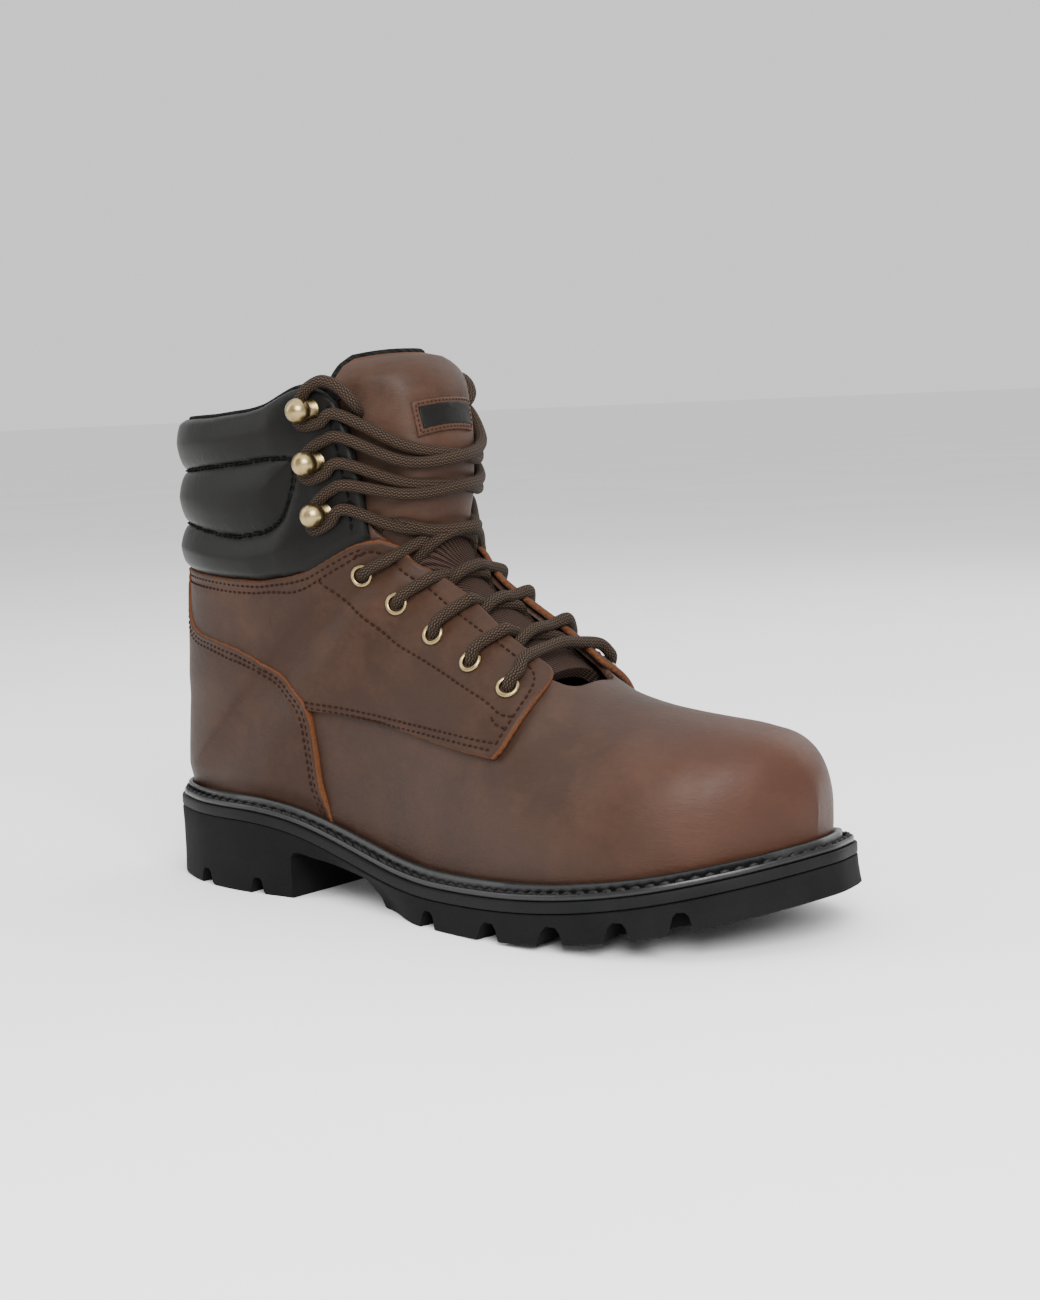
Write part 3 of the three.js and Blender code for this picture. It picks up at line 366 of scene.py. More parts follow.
def shifted(curve, distance):
    """A (u, v) curve moved sideways over the surface, to the left of its run seen from outside."""
    u, v = curve.T
    points = skin(u, v)
    run = np.gradient(points, axis=0)
    aside = np.cross(skin_normal(u, v), run)
    aside *= np.asarray(distance, float).reshape(-1, 1) / np.linalg.norm(aside, axis=1, keepdims=True)
    du = (skin(u + 0.02, v) - skin(u - 0.02, v)) / 0.04
    dv = (skin(u, v + 0.01) - skin(u, v - 0.01)) / 0.02
    uu, uv, vv = (du * du).sum(1), (du * dv).sum(1), (dv * dv).sum(1)
    ua, va = (du * aside).sum(1), (dv * aside).sum(1)
    det = uu * vv - uv * uv + 1e-9
    return np.stack([u + (vv * ua - uv * va) / det, v + (uu * va - uv * ua) / det], axis=-1)


# Where the design's heel back and centre line lie in the frame, from the midsole's box
LOOP = outline_point(np.linspace(0, len(OUTLINE), 1000))
MIDSOLE_LOW = np.array(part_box("midsole")[0]) / MM
ORIGIN = np.array([MIDSOLE_LOW[0] - LOOP[:, 0].min(), MIDSOLE_LOW[1] - LOOP[:, 1].min(), 0.0])


class Value:
    """A shader number: Python's operators on it add Math nodes."""

    def __init__(self, paint, socket):
        self.paint = paint
        self.socket = socket

    def math(self, operation, *others):
        return self.paint.value("ShaderNodeMath", {"operation": operation}, dict(enumerate((self, *others))))

    def __add__(self, other):
        return self.math("ADD", other)

    def __sub__(self, other):
        return self.math("SUBTRACT", other)

    def __rsub__(self, other):
        return (self * -1) + other

    def __mul__(self, other):
        return self.math("MULTIPLY", other)

    __radd__ = __add__
    __rmul__ = __mul__

    def least(self, other):
        return self.math("MINIMUM", other)

    def sine(self):
        return self.math("SINE")

    def step(self, low, high):
        """0 below low and 1 above high, smoothly."""
        settings = {"interpolation_type": "SMOOTHSTEP"}
        return self.paint.value("ShaderNodeMapRange", settings, {0: self, 1: low, 2: high})


class Paint:
    """One material and its nodes."""

    def __init__(self, name, **constants):
        self.material = bpy.data.materials.new(name)
        self.material.use_nodes = True
        self.tree = self.material.node_tree
        self.shader = self.tree.nodes["Principled BSDF"]
        for socket, value in constants.items():
            self.shader.inputs[socket.replace("_", " ")].default_value = value
        self.place = self.node("ShaderNodeTexCoord").outputs["Object"]

    def node(self, kind, settings=None, values=None):
        node = self.tree.nodes.new(kind)
        for key, setting in (settings or {}).items():
            if key == "stops":
                self.set_stops(node, setting)
            else:
                setattr(node, key, setting)
        for key, value in (values or {}).items():
            value = value.socket if isinstance(value, Value) else value
            if isinstance(value, bpy.types.NodeSocket):
                self.tree.links.new(value, node.inputs[key])
            else:
                node.inputs[key].default_value = value
        return node

    def set_stops(self, node, stops):
        ramp_stops = node.color_ramp.elements
        while len(ramp_stops) < len(stops):
            ramp_stops.new(0.5)
        for stop, (place, colour) in zip(ramp_stops, stops):
            stop.position = place
            stop.color = (*colour, 1)

    def value(self, kind, settings=None, values=None, output=0):
        return Value(self, self.node(kind, settings, values).outputs[output])

    def stretched(self, x, y, z):
        settings = {"operation": "MULTIPLY"}
        return self.node("ShaderNodeVectorMath", settings, {0: self.place, 1: (x, y, z)}).outputs[0]

    def noise(self, scale, detail=3.0, roughness=0.55, distortion=0.0, place=None):
        values = {
            "Vector": place or self.place, "Scale": scale, "Detail": detail,
            "Roughness": roughness, "Distortion": distortion,
        }
        return self.value("ShaderNodeTexNoise", None, values)

    def cells(self, scale):
        values = {"Vector": self.place, "Scale": scale}
        return self.value("ShaderNodeTexVoronoi", {"feature": "DISTANCE_TO_EDGE"}, values)

    def attribute(self, name):
        return self.value("ShaderNodeAttribute", {"attribute_name": name}, None, "Fac")

    def axis(self, name):
        return self.value("ShaderNodeSeparateXYZ", None, {0: self.place}, name)

    def mix(self, factor, first, second):
        first, second = ((*c, 1) if isinstance(c, tuple) else c for c in (first, second))
        values = {0: factor, 6: first, 7: second}
        return self.node("ShaderNodeMix", {"data_type": "RGBA"}, values).outputs[2]

    def shades(self, value, *stops):
        return self.node("ShaderNodeValToRGB", {"stops": stops}, {0: value}).outputs[0]

    def feed(self, socket, value):
        self.tree.links.new(value.socket if isinstance(value, Value) else value, self.shader.inputs[socket])

    def bumps(self, *layers):
        """Layers of (height, distance in millimetres), each a Bump over the last."""
        normal = None
        for height, depth in layers:
            values = {"Height": height, "Distance": depth * MM, "Strength": 1.0}
            if normal:
                values["Normal"] = normal
            normal = self.node("ShaderNodeBump", None, values).outputs[0]
        self.tree.links.new(normal, self.shader.inputs["Normal"])


# Colours of the real boot, linear, except that the collar's darker black is painted shade and BROWN_DARK also
# paints shade near the sole
BROWN_EDGE = (0.06, 0.022, 0.009)
BROWN_DARK = (0.025, 0.0115, 0.0066)
BROWN = (0.052, 0.0252, 0.0149)
BROWN_PALE = (0.09, 0.049, 0.031)
BROWN_RED = (0.072, 0.0205, 0.0085)
RUST = (0.115, 0.038, 0.012)
# The collar's darker black: painted shade in the hollows of its broad bump
COLLAR_HOLLOW_SHADE = (0.0036, 0.0034, 0.003)
BLACK_LEATHER = (0.0062, 0.006, 0.0054)
BRASS_DARK = (0.2, 0.145, 0.065)
BRASS = (0.33, 0.25, 0.125)
BRASS_BRIGHT = (0.46, 0.37, 0.22)
LACE_DEEP = (0.004, 0.0025, 0.0016)
LACE_BROWN = (0.016, 0.0095, 0.006)
LACE_PALE = (0.075, 0.048, 0.03)
DUST = (0.2, 0.18, 0.15)
FLOOR_SHADES = ((0.86, 0.86, 0.86), (0.9, 0.9, 0.9))

# Textiles: darker and paler yarn, yarns to the metre and their relief in millimetres
LINING_KNIT = ((0.003, 0.003, 0.003), (0.01, 0.01, 0.0095), 700.0, 0.4)
GUSSET_MESH = ((0.003, 0.0019, 0.0016), (0.05, 0.03, 0.023), 1700.0, 0.7)

# Threads: colour, roughness and shine
BROWN_THREAD = ((0.0175, 0.0078, 0.0048), 0.85, 0.06)
BLACK_THREAD = ((0.004, 0.004, 0.004), 0.85, 0.06)
WAXED_THREAD = ((0.005, 0.005, 0.005), 0.5, 0.16)
PATCH_THREAD = ((0.03, 0.009, 0.005), 0.85, 0.06)

# Rubbers: darker and paler colour, roughness, dust and shine
SOLE_RUBBER = ((0.004, 0.0043, 0.004), (0.009, 0.0095, 0.009), 0.68, 0.06, 0.05)
BAND_RUBBER = ((0.0045, 0.0048, 0.0046), (0.009, 0.0095, 0.009), 0.55, 0.04, 0.09)
WELT_RUBBER = ((0.0025, 0.0025, 0.0026), (0.005, 0.005, 0.0052), 0.34, 0.03, 0.4)

# Browns of the leather pieces: how red the toe is, how pale the whole
VAMP_BROWN = (0.42, 0.45)
QUARTER_BROWN = (0.0, 0.42)
TONGUE_BROWN = (0.0, 0.5)


def brown_leather(name, toe, pale):
    """Oiled pull-up leather: marbled brown, pale streaks that are partly scratches and partly painted
    highlight, rust at a cut edge, and painted shade darkening it towards the sole.
    """
    paint = Paint(name, Roughness=0.5, Specular_IOR_Level=0.2 if toe else 0.15)
    broad = paint.noise(19.0, 4.0, 0.5, 0.6)
    patches = paint.noise(62.0, 5.0, 0.6, 0.4)
    mottle = paint.noise(420.0, 3.0, 0.6)
    tone = broad * 0.5 + patches * 0.4 + mottle * 0.16 + (pale - 0.72)
    colour = paint.shades(tone, (0.2, BROWN_DARK), (0.5, BROWN), (0.85, BROWN_PALE))
    if toe:
        forward = paint.axis("X").step(0.07, 0.135) * (broad * 0.8 + 0.45)
        colour = paint.mix((forward * toe).least(0.85), colour, BROWN_RED)
    # Darker towards the sole: painted shade from the welt and the sole
    low = 1 - paint.axis("Z").step(0.02, 0.075)
    colour = paint.mix(low * 0.35, colour, BROWN_DARK)
    # Pale horizontal streaks: partly scratches, partly painted highlight streaks
    scratch_sheen_noise = paint.noise(150.0, 4.0, 0.7, 0.0, paint.stretched(1.0, 1.0, 9.0))
    scratch_and_sheen = scratch_sheen_noise.step(0.63, 0.78) * patches.step(0.45, 0.62)
    colour = paint.mix(scratch_and_sheen * 0.28, colour, BROWN_PALE)
    speck = paint.noise(1600.0, 1.0, 0.5).step(0.72, 0.8)
    colour = paint.mix(speck * 0.2, colour, BROWN_PALE)
    edge = paint.attribute("edge")
    fray = paint.noise(1400.0, 2.0, 0.6)
    raw = 1 - (edge + (fray - 0.5) * 0.7).step(0.3, 0.8)
    raw_colour = paint.mix(fray, RUST, BROWN_EDGE)
    colour = paint.mix(raw, colour, raw_colour)
    paint.feed("Base Color", colour)
    paint.feed("Roughness", raw * 0.3 + (patches * 0.22 + mottle * 0.14 + 0.33))
    grain = paint.cells(2300.0) * 0.5 + paint.noise(3600.0, 2.0, 0.6) * 0.5
    creases = paint.noise(260.0, 5.0, 0.62, 0.8, paint.stretched(1.0, 1.0, 2.6))
    fibres = paint.noise(2600.0, 2.0, 0.7) * raw
    paint.bumps((broad, 0.3), (creases, 0.16), (grain, 0.045), (fibres, 0.35))
    return paint.material


def collar_leather():
    """Soft smooth black leather, satin, with fine creases by its seams."""
    paint = Paint("collar_leather", Roughness=0.4, Specular_IOR_Level=0.11)
    broad = paint.noise(30.0, 3.0, 0.5)
    fine = paint.noise(900.0, 3.0, 0.6)
    shade = broad * 0.7 + fine * 0.3
    # Darker where the broad bump dips: painted shade in its hollows
    paint.feed("Base Color", paint.shades(shade, (0.25, COLLAR_HOLLOW_SHADE), (0.8, BLACK_LEATHER)))
    paint.feed("Roughness", broad * 0.14 + fine * 0.1 + 0.27)
    pull = paint.noise(120.0, 5.0, 0.6, 1.2)
    tucks = 1 - paint.attribute("seam").step(0.0, 7.0)
    grain = paint.cells(1700.0) * 0.6 + fine * 0.4
    paint.bumps((broad, 0.4), (pull * (tucks * 0.8 + 0.2), 0.4), (grain, 0.04))
    return paint.material


def knit(name, dark, pale, scale, depth):
    """Coarse woven textile, as two crossing waves with fuzz."""
    paint = Paint(name, Roughness=0.95, Specular_IOR_Level=0.08)
    x, y, z = (paint.axis(name) * scale for name in "XYZ")
    rising = (x * 1.7 + z * 1.7).sine()
    falling = (z * 2.3 - x * 0.9 + y * 2.0).sine()
    fuzz = paint.noise(2400.0, 3.0, 0.7)
    weave = (rising * falling * 0.25 + 0.5) * 0.7 + fuzz * 0.3
    paint.feed("Base Color", paint.shades(weave, (0.38, dark), (0.62, pale)))
    paint.bumps((weave, depth))
    return paint.material


def rubber(name, dark, pale, rough, dust, shine):
    """Moulded black rubber with a cloudy surface and a few specks of dust."""
    paint = Paint(name, Roughness=rough, Specular_IOR_Level=shine)
    cloud = paint.noise(45.0, 4.0, 0.6)
    fine = paint.noise(1900.0, 3.0, 0.65)
    specks = paint.noise(700.0, 2.0, 0.5).step(0.72, 0.8) * cloud.step(0.5, 0.65)
    colour = paint.shades(cloud * 0.6 + fine * 0.4, (0.3, dark), (0.75, pale))
    paint.feed("Base Color", paint.mix(specks * dust, colour, DUST))
    paint.feed("Roughness", cloud * 0.2 + fine * 0.12 + (rough - 0.15))
    paint.bumps((cloud, 0.5), (fine, 0.05))
    return paint.material


def thread(name, colour, rough, shine):
    """Sewing thread, darker and paler by its twist."""
    paint = Paint(name, Roughness=rough, Specular_IOR_Level=shine)
    twist = paint.noise(2200.0, 2.0, 0.6)
    dark, pale = (tuple(share * part for part in colour) for share in (0.6, 1.5))
    paint.feed("Base Color", paint.shades(twist, (0.3, dark), (0.7, pale)))
    paint.bumps((twist, 0.12))
    return paint.material


def brass():
    """Worn antique brass, darker where the finish is left."""
    paint = Paint("antique_brass", Metallic=1.0, Roughness=0.3)
    wear = paint.noise(260.0, 4.0, 0.6)
    fine = paint.noise(1500.0, 3.0, 0.6)
    colour = paint.shades(wear * 0.7 + fine * 0.3, (0.3, BRASS_DARK), (0.55, BRASS), (0.8, BRASS_BRIGHT))
    paint.feed("Base Color", colour)
    paint.feed("Roughness", wear * 0.16 + fine * 0.12 + 0.16)
    paint.bumps((fine, 0.03))
    return paint.material


def braid():
    """Round braided cord: two crossing helices of strands, read from the cord's own coordinates."""
    paint = Paint("lace_braid", Roughness=0.8, Specular_IOR_Level=0.15)
    cord = paint.node("ShaderNodeUVMap", {"uv_map": "cord"}).outputs[0]
    split = paint.node("ShaderNodeSeparateXYZ", None, {0: cord})
    turn = 2 * math.pi
    along, around = (Value(paint, output) * turn for output in split.outputs[:2])
    right = (along + around * 6).sine()
    left = (along - around * 6).sine()
    strands = right.math("ABSOLUTE").least(left.math("ABSOLUTE"))
    ribs = (around * 12).sine() * 0.5 + 0.5
    fuzz = paint.noise(2600.0, 2.0, 0.6)
    shade = strands * 0.55 + ribs * 0.25 + fuzz * 0.3
    paint.feed("Base Color", paint.shades(shade, (0.2, LACE_DEEP), (0.5, LACE_BROWN), (0.9, LACE_PALE)))
    paint.bumps((strands * 0.8 + ribs * 0.2, 0.5), (fuzz, 0.06))
    return paint.material


# Mesh making
SHARP = math.radians(38)
WELD = 0.01
ON_MIDDLE = 0.02
BRAID_TURN = 3.4


def piece(name, points, faces, materials, slot, replaced=(), numbers=None, indices=None, cord_uv=None):
    """A mesh object in the frame from points in the design's millimetres."""
    mesh = bpy.data.meshes.new(name)
    mesh.from_pydata(((np.asarray(points) + ORIGIN) * MM).tolist(), [], [list(map(int, f)) for f in faces])
    for material in materials:
        mesh.materials.append(material)
    if indices is not None:
        mesh.polygons.foreach_set("material_index", np.asarray(indices, np.int32))
    for key, values in (numbers or {}).items():
        mesh.attributes.new(key, "FLOAT", "POINT").data.foreach_set("value", np.asarray(values, np.float32))
    if cord_uv is not None:
        mesh.uv_layers.new(name="cord").data.foreach_set("uv", np.asarray(cord_uv, np.float32).ravel())
    else:
        work = bmesh.new()
        work.from_mesh(mesh)
        bmesh.ops.remove_doubles(work, verts=work.verts, dist=WELD * MM)
        work.to_mesh(mesh)
        work.free()
    mesh.polygons.foreach_set("use_smooth", np.ones(len(mesh.polygons), bool))
    mesh.set_sharp_from_angle(angle=SHARP)
    made = bpy.data.objects.new(name, mesh)
    bpy.context.scene.collection.objects.link(made)
    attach(made, "root")
    if replaced:
        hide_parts(*replaced)
    return made


def quads_of(index):
    """Faces of a grid of vertex numbers, rows by columns."""
    corners = [index[:-1, :-1], index[:-1, 1:], index[1:, 1:], index[1:, :-1]]
    return np.stack(corners, axis=-1).reshape(-1, 4)


def border_of(index):
    return np.concatenate([index[0, :-1], index[:-1, -1], index[-1, :0:-1], index[:0:-1, 0]])


def at(curve, fractions):
    """Points of a (u, v) curve at fractions of its length on the surface."""
    fine, lengths = finely(curve, 6)
    stops = np.asarray(fractions) * lengths[-1]
    return np.stack([np.interp(stops, lengths, column) for column in fine.T], axis=-1)


def length_of(curve):
    return run_lengths(skin_at(curve))[-1]


def nearest(curve, spot):
    """The number of the curve's point that lies nearest to a (u, v) spot on the surface."""
    return int(np.argmin(np.linalg.norm(skin_at(curve) - skin_at(np.asarray(spot)), axis=1)))


def rim_stops(length, cell, low_rim, high_rim):
    """Fractions of a length: cells of an even size, with fine rows by the edges that are free."""
    fine = np.array([0, 0.12, 0.3, 0.55, 0.9, 1.4])
    low = fine if low_rim else np.array([0.0])
    high = length - fine[::-1] if high_rim else np.array([length])
    count = max(2, int((high[0] - low[-1]) / cell))
    return np.concatenate([low, np.linspace(low[-1], high[0], count + 1)[1:-1], high]) / length


def patch(bottom, top, left, right, cell=1.6, rims="", meet=((0, 1), (0, 1))):
    """A grid of (u, v) between four curves: bottom and top run from left to right, left and right
    from bottom to top. rims names the free sides, which get finer rows, and meet the fractions of the
    top's and the bottom's length that lie over each other."""
    across = rim_stops(max(length_of(bottom), length_of(top)), cell, "l" in rims, "r" in rims)
    up = rim_stops(max(length_of(left), length_of(right)), cell, "b" in rims, "t" in rims)
    low, high = at(bottom, np.interp(across, *meet))[None], at(top, across)[None]
    first, last = at(left, up)[:, None], at(right, up)[:, None]
    s, t = across[None, :, None], up[:, None, None]
    corners = ((1 - s) * (1 - t) * low[:, :1] + s * (1 - t) * low[:, -1:]
               + (1 - s) * t * high[:, :1] + s * t * high[:, -1:])
    return (1 - t) * low + t * high + (1 - s) * first + s * last - corners


def mirrored(grid):
    return grid * np.array([1.0, -1.0])


class Near:
    """Distances over the surface to curves drawn on it, on both sides of the boot."""

    def __init__(self, *curves, sides=(-1, 1)):
        spots = []
        for curve in curves:
            for side in sides:
                line = even(curve, step=0.5)
                spots.append(skin(line[:, 0], -side * line[:, 1]))
        spots = np.concatenate(spots)
        self.tree = KDTree(len(spots))
        for i, spot in enumerate(spots):
            self.tree.insert(spot, i)
        self.tree.balance()

    def __call__(self, points):
        flat = np.asarray(points).reshape(-1, 3)
        found = np.fromiter((self.tree.find(p)[2] for p in flat), float, len(flat))
        return found.reshape(np.asarray(points).shape[:-1])


def shell(grids, outer, inner):
    """Closed walls over (u, v) grids, whose two faces lie at the heights outer and inner give."""
    points, faces, indices, start = [], [], [], 0
    for grid in grids:
        u, v = grid[..., 0], grid[..., 1]
        base, normal = skin(u, v), skin_normal(u, v)
        on_middle = np.abs(base[..., 1] - centre_y(base[..., 0])) < ON_MIDDLE
        normal = np.where(on_middle[..., None], normal * [1, 0, 1], normal)
        normal = normal / np.linalg.norm(normal, axis=-1, keepdims=True)
        heights = outer(base, u, v), inner(base, u, v)
        points += [(base + normal * height[..., None]).reshape(-1, 3) for height in heights]
        index = np.arange(u.size).reshape(u.shape) + start
        front = quads_of(index)
        a, b, d = (base.reshape(-1, 3)[front[:, k] - start] for k in (0, 1, 3))
        turn = (np.cross(b - a, d - a) * normal.reshape(-1, 3)[front[:, 0] - start]).sum()
        ring = border_of(index)
        beside = np.roll(ring, -1)
        rim = np.stack([beside, ring, ring + u.size, beside + u.size], axis=-1)
        at_middle = on_middle.ravel()
        open_here = at_middle[ring - start] & at_middle[beside - start]
        parts = [front, front[:, ::-1] + u.size, rim[~open_here]]
        for k, part in enumerate(parts):
            faces.append(part if turn > 0 else part[:, ::-1])
            indices.append(np.full(len(part), int(k == 1)))
        start += 2 * u.size
    return np.concatenate(points), np.concatenate(faces), np.concatenate(indices)


def dome(distance, reach):
    """A rounded edge: 0 at the edge, 1 from reach inwards."""
    return np.sqrt(np.clip(1 - (1 - np.clip(distance / reach, 0, 1)) ** 2, 0, 1))


def hollow(distance, width):
    """A soft trough or ridge: 1 at its line, fading over width."""
    return np.exp(-(distance / width) ** 2)


def waves(points, size, seed):
    """Gentle uneven swelling, from a few crossing sine waves."""
    draw = random.Random(seed)
    total = np.zeros(points.shape[:-1])
    for _ in range(7):
        direction = np.array([draw.gauss(0, 1) for _ in range(3)])
        direction *= 2 * math.pi / size / np.linalg.norm(direction)
        total += np.sin(points @ (direction * draw.uniform(0.6, 1.5)) + draw.uniform(0, 6.3))
    return total / 7


def strand_tube(path, radius, sides):
    """A tube along points, with cord coordinates: turns along and round it."""
    path = np.asarray(path)
    run = np.gradient(path, axis=0)
    run /= np.linalg.norm(run, axis=1, keepdims=True)
    aside = np.zeros_like(path)
    side = np.cross(run[0], [0.3, 0.2, 1.0])
    for i, direction in enumerate(run):
        side = side - direction * (side @ direction)
        side /= np.linalg.norm(side)
        aside[i] = side
    over = np.cross(run, aside)
    turn = np.linspace(0, 2 * math.pi, sides, endpoint=False)
    ring = np.cos(turn)[None, :, None] * aside[:, None] + np.sin(turn)[None, :, None] * over[:, None]
    points = (path[:, None] + ring * radius).reshape(-1, 3)
    index = np.arange(len(points)).reshape(-1, sides)
    faces = quads_of(np.concatenate([index, index[:, :1]], axis=1))
    turns_along, turns_round = np.meshgrid(
        run_lengths(path) / BRAID_TURN, np.linspace(0, 1, sides + 1), indexing="ij")
    corners = np.stack([turns_along, turns_round], axis=-1)
    uv = [corners[:-1, :-1], corners[:-1, 1:], corners[1:, 1:], corners[1:, :-1]]
    caps = [index[0, ::-1].tolist(), index[-1].tolist()]
    cap_uv = np.zeros((2 * sides, 2))
    return points, [*faces.tolist(), *caps], np.concatenate([np.stack(uv, axis=2).reshape(-1, 2), cap_uv])


def smooth_path(points, step=0.9):
    """A smooth curve through points, evenly spaced."""
    points = np.asarray(points, float)
    spans = np.linspace(0, len(points) - 1, 24 * len(points))
    i = np.clip(np.floor(spans).astype(int), 0, len(points) - 2)
    near = [points[np.clip(i + k, 0, len(points) - 1)] for k in (-1, 0, 1, 2)]
    return along_line(blend(*near, (spans - i)[:, None]), step)


def joined(tubes):
    """Several tubes as one mesh."""
    points, faces, uvs, start = [], [], [], 0
    for tube_points, tube_faces, uv in tubes:
        points.append(tube_points)
        faces += [[k + start for k in face] for face in tube_faces]
        uvs.append(uv)
        start += len(tube_points)
    return np.concatenate(points), faces, np.concatenate(uvs)


# Rings of a stitch: place of half its length, size and lift of its radius
STITCH_RINGS = [
    (-1.0, 0.35, -0.9), (-0.6, 0.85, -0.1), (0.0, 1.0, 0.25), (0.6, 0.85, -0.1), (1.0, 0.35, -0.9),
]
STITCH_SIDES = 6
STITCH_LEAN = 0.08
STITCH_SHARE = 0.84


def stitch_row(spots, normals, pitch, radius, share, seed):
    """Short threads along points, each sinking into its holes and a share of the pitch long."""
    draw = random.Random(seed)
    line = along_line(np.concatenate([spots, normals], axis=1), pitch)
    places, ups = line[:, :3], line[:, 3:]
    ups = ups / np.linalg.norm(ups, axis=1, keepdims=True)
    turns = [2 * math.pi * side / STITCH_SIDES for side in range(STITCH_SIDES)]
    index = np.arange(len(STITCH_RINGS) * STITCH_SIDES).reshape(-1, STITCH_SIDES)
    walls = quads_of(np.concatenate([index, index[:, :1]], axis=1)).tolist()
    stitch_faces = [*walls, index[0, ::-1].tolist(), index[-1].tolist()]
    points, faces = [], []
    for a, b, up in zip(places[:-1], places[1:], ups):
        length = np.linalg.norm(b - a)
        run = (b - a) / length
        aside = np.cross(up, run) + run * draw.uniform(-STITCH_LEAN, STITCH_LEAN)
        faces += [[corner + len(points) for corner in face] for face in stitch_faces]
        for along, size, lift in STITCH_RINGS:
            centre = (a + b) / 2 + run * along * share * length / 2 + up * lift * radius
            points += [centre + (aside * math.cos(t) + up * math.sin(t)) * radius * size for t in turns]
    return points, faces


def stitched(name, rows, material, slot, pitch, radius, sides=(1, -1)):
    """Rows of (u, v) curve and height over the surface, sewn on the sides given as one mesh."""
    points, faces = [], []
    for number, (curve, height) in enumerate(rows):
        for side in sides:
            line = even(curve)
            u, v = line[:, 0], side * line[:, 1]
            tall = height if np.ndim(height) == 0 else np.interp(np.linspace(0, 1, len(line)), *height)
            spots = over_skin(u, v, np.broadcast_to(tall, len(line)))
            row = stitch_row(spots, skin_normal(u, v), pitch, radius, STITCH_SHARE, number)
            faces += [[k + len(points) for k in face] for face in row[1]]
            points += row[0]
    piece(name, np.array(points), faces, [material], slot)


def inward(curve, distance, centre):
    """A curve moved over the surface towards a (u, v) point."""
    middle = skin_at(centre)
    both = [shifted(curve, side * distance) for side in (1, -1)]
    gaps = [np.nanmean(np.linalg.norm(skin_at(line) - middle, axis=1)) for line in both]
    nearer = both[int(gaps[1] < gaps[0])]
    return nearer[np.abs(nearer[:, 1]) < 0.99]


def straight(start, end, count=60):
    return np.linspace(start, end, count)


def tied(*curves):
    """Curves joined end to end."""
    return np.concatenate([curves[0], *(curve[1:] for curve in curves[1:])])


def placed(rows):
    """Rows of (x of SOLE_LENGTH, rise of UPPER_RISE) as (u, v) on the lateral side."""
    return locate(side_view(rows), -1)


# Borders and stitch lines of the upper's pieces, as (u, v) on the lateral side
SHAFT = seam(SHAFT_SEAM)
EYESTAY = seam(EYESTAY_EDGE, 3)
FOOT_SEAM = seam(QUARTER_FOOT)
COUNTER = seam(COUNTER_SEAM)
FRONT = seam(COLLAR_FRONT, 3)
TOP = seam(COLLAR_TOP)[::-1]
BACK_SEAM_U = SHAFT[0, 0]
THROAT = seam(THROAT_SIDE, 2)
THROAT_U = THROAT[0, 0]


def throat_edge():
    """The throat's edge from the ridge, round its corner and up the side."""
    start, corner, end = np.array([(THROAT_U, 0.45 * THROAT[0, 1]), THROAT[0], THROAT[5]])
    share = np.linspace(0, 1, 9)[:, None]
    bend = (1 - share) ** 2 * start + 2 * share * (1 - share) * corner + share ** 2 * end
    return np.concatenate([[(THROAT_U, 0.0)], bend, THROAT[6:]])


THROAT_EDGE = throat_edge()
UNDER_THROAT_U = 5.4
HEEL_U = float(FIRST_CLOSED)
VAMP_TUCK = 5.0

EYELETS = placed([(0.406, 0.658), (0.456, 0.61), (0.515, 0.556), (0.579, 0.502), (0.635, 0.445)])
HOOKS = placed([(0.368, 0.791), (0.364, 0.911), (0.361, 1.034)])

# Stitch lines: x of SOLE_LENGTH, rise of UPPER_RISE
DIAGONAL_ROW = [
    (0.352, 0.624), (0.381, 0.589), (0.423, 0.555), (0.466, 0.517), (0.536, 0.482), (0.605, 0.429),
    (0.63, 0.404), (0.635, 0.39), (0.656, 0.384),
]
FLAP_ROW = [
    (0.4, 0.704), (0.416, 0.724), (0.43, 0.722), (0.456, 0.686), (0.526, 0.611), (0.607, 0.529),
    (0.649, 0.474), (0.657, 0.452), (0.659, 0.43), (0.657, 0.4), (0.652, 0.363), (0.644, 0.325),
]
FOOT_ROWS = [
    [(0.3, 0.308), (0.389, 0.331), (0.476, 0.348), (0.568, 0.348), (0.641, 0.331)],
    [(0.3, 0.297), (0.388, 0.317), (0.477, 0.334), (0.569, 0.333), (0.639, 0.316)],
]
BOX_ROW = [(0.628, 0.388), (0.637, 0.368), (0.653, 0.36)]
COLLAR_ROW = [
    (0.385, 1.055), (0.388, 0.996), (0.394, 0.952), (0.397, 0.907), (0.403, 0.838), (0.403, 0.765),
]
QUILTING = [
    (0.05, 0.705), (0.098, 0.709), (0.166, 0.689), (0.22, 0.682), (0.274, 0.709), (0.301, 0.747),
    (0.315, 0.801), (0.326, 0.853), (0.329, 0.907), (0.286, 0.889), (0.23, 0.864), (0.088, 0.842),
    (0.05, 0.84),
]

# How far the stitch rows lie inside the seams, and places well inside the quarter and the counter
TOP_INSETS = (2.6, 5.4)
COUNTER_INSETS = (2.6, 4.7)
QUARTER_MIDDLE = placed([(0.45, 0.5)])[0]
COUNTER_MIDDLE = placed([(0.2, 0.2)])[0]

DIAGONAL = seam(DIAGONAL_ROW)
FLAP = seam(FLAP_ROW, 3)
FEET = [seam(row) for row in FOOT_ROWS]
BOX = seam(BOX_ROW, 1)
COLLAR_SEW = seam(COLLAR_ROW)
QUILT = seam(QUILTING, 5)
SHAFT_SEWS = [inward(SHAFT, inset, QUARTER_MIDDLE)[4:-7] for inset in TOP_INSETS]
COUNTER_SEWS = [inward(COUNTER, inset, COUNTER_MIDDLE) for inset in COUNTER_INSETS]

THREAD_DEPTH = 0.35
THREAD_REACH = 0.9
THREAD_LIFT = 0.12
QUARTER_HEIGHT = 2.2
COUNTER_HEIGHT = 3.3
COUNTER_LOW = 2.3
EDGE_ROUND = 1.0
EDGE_SWELL = 0.25


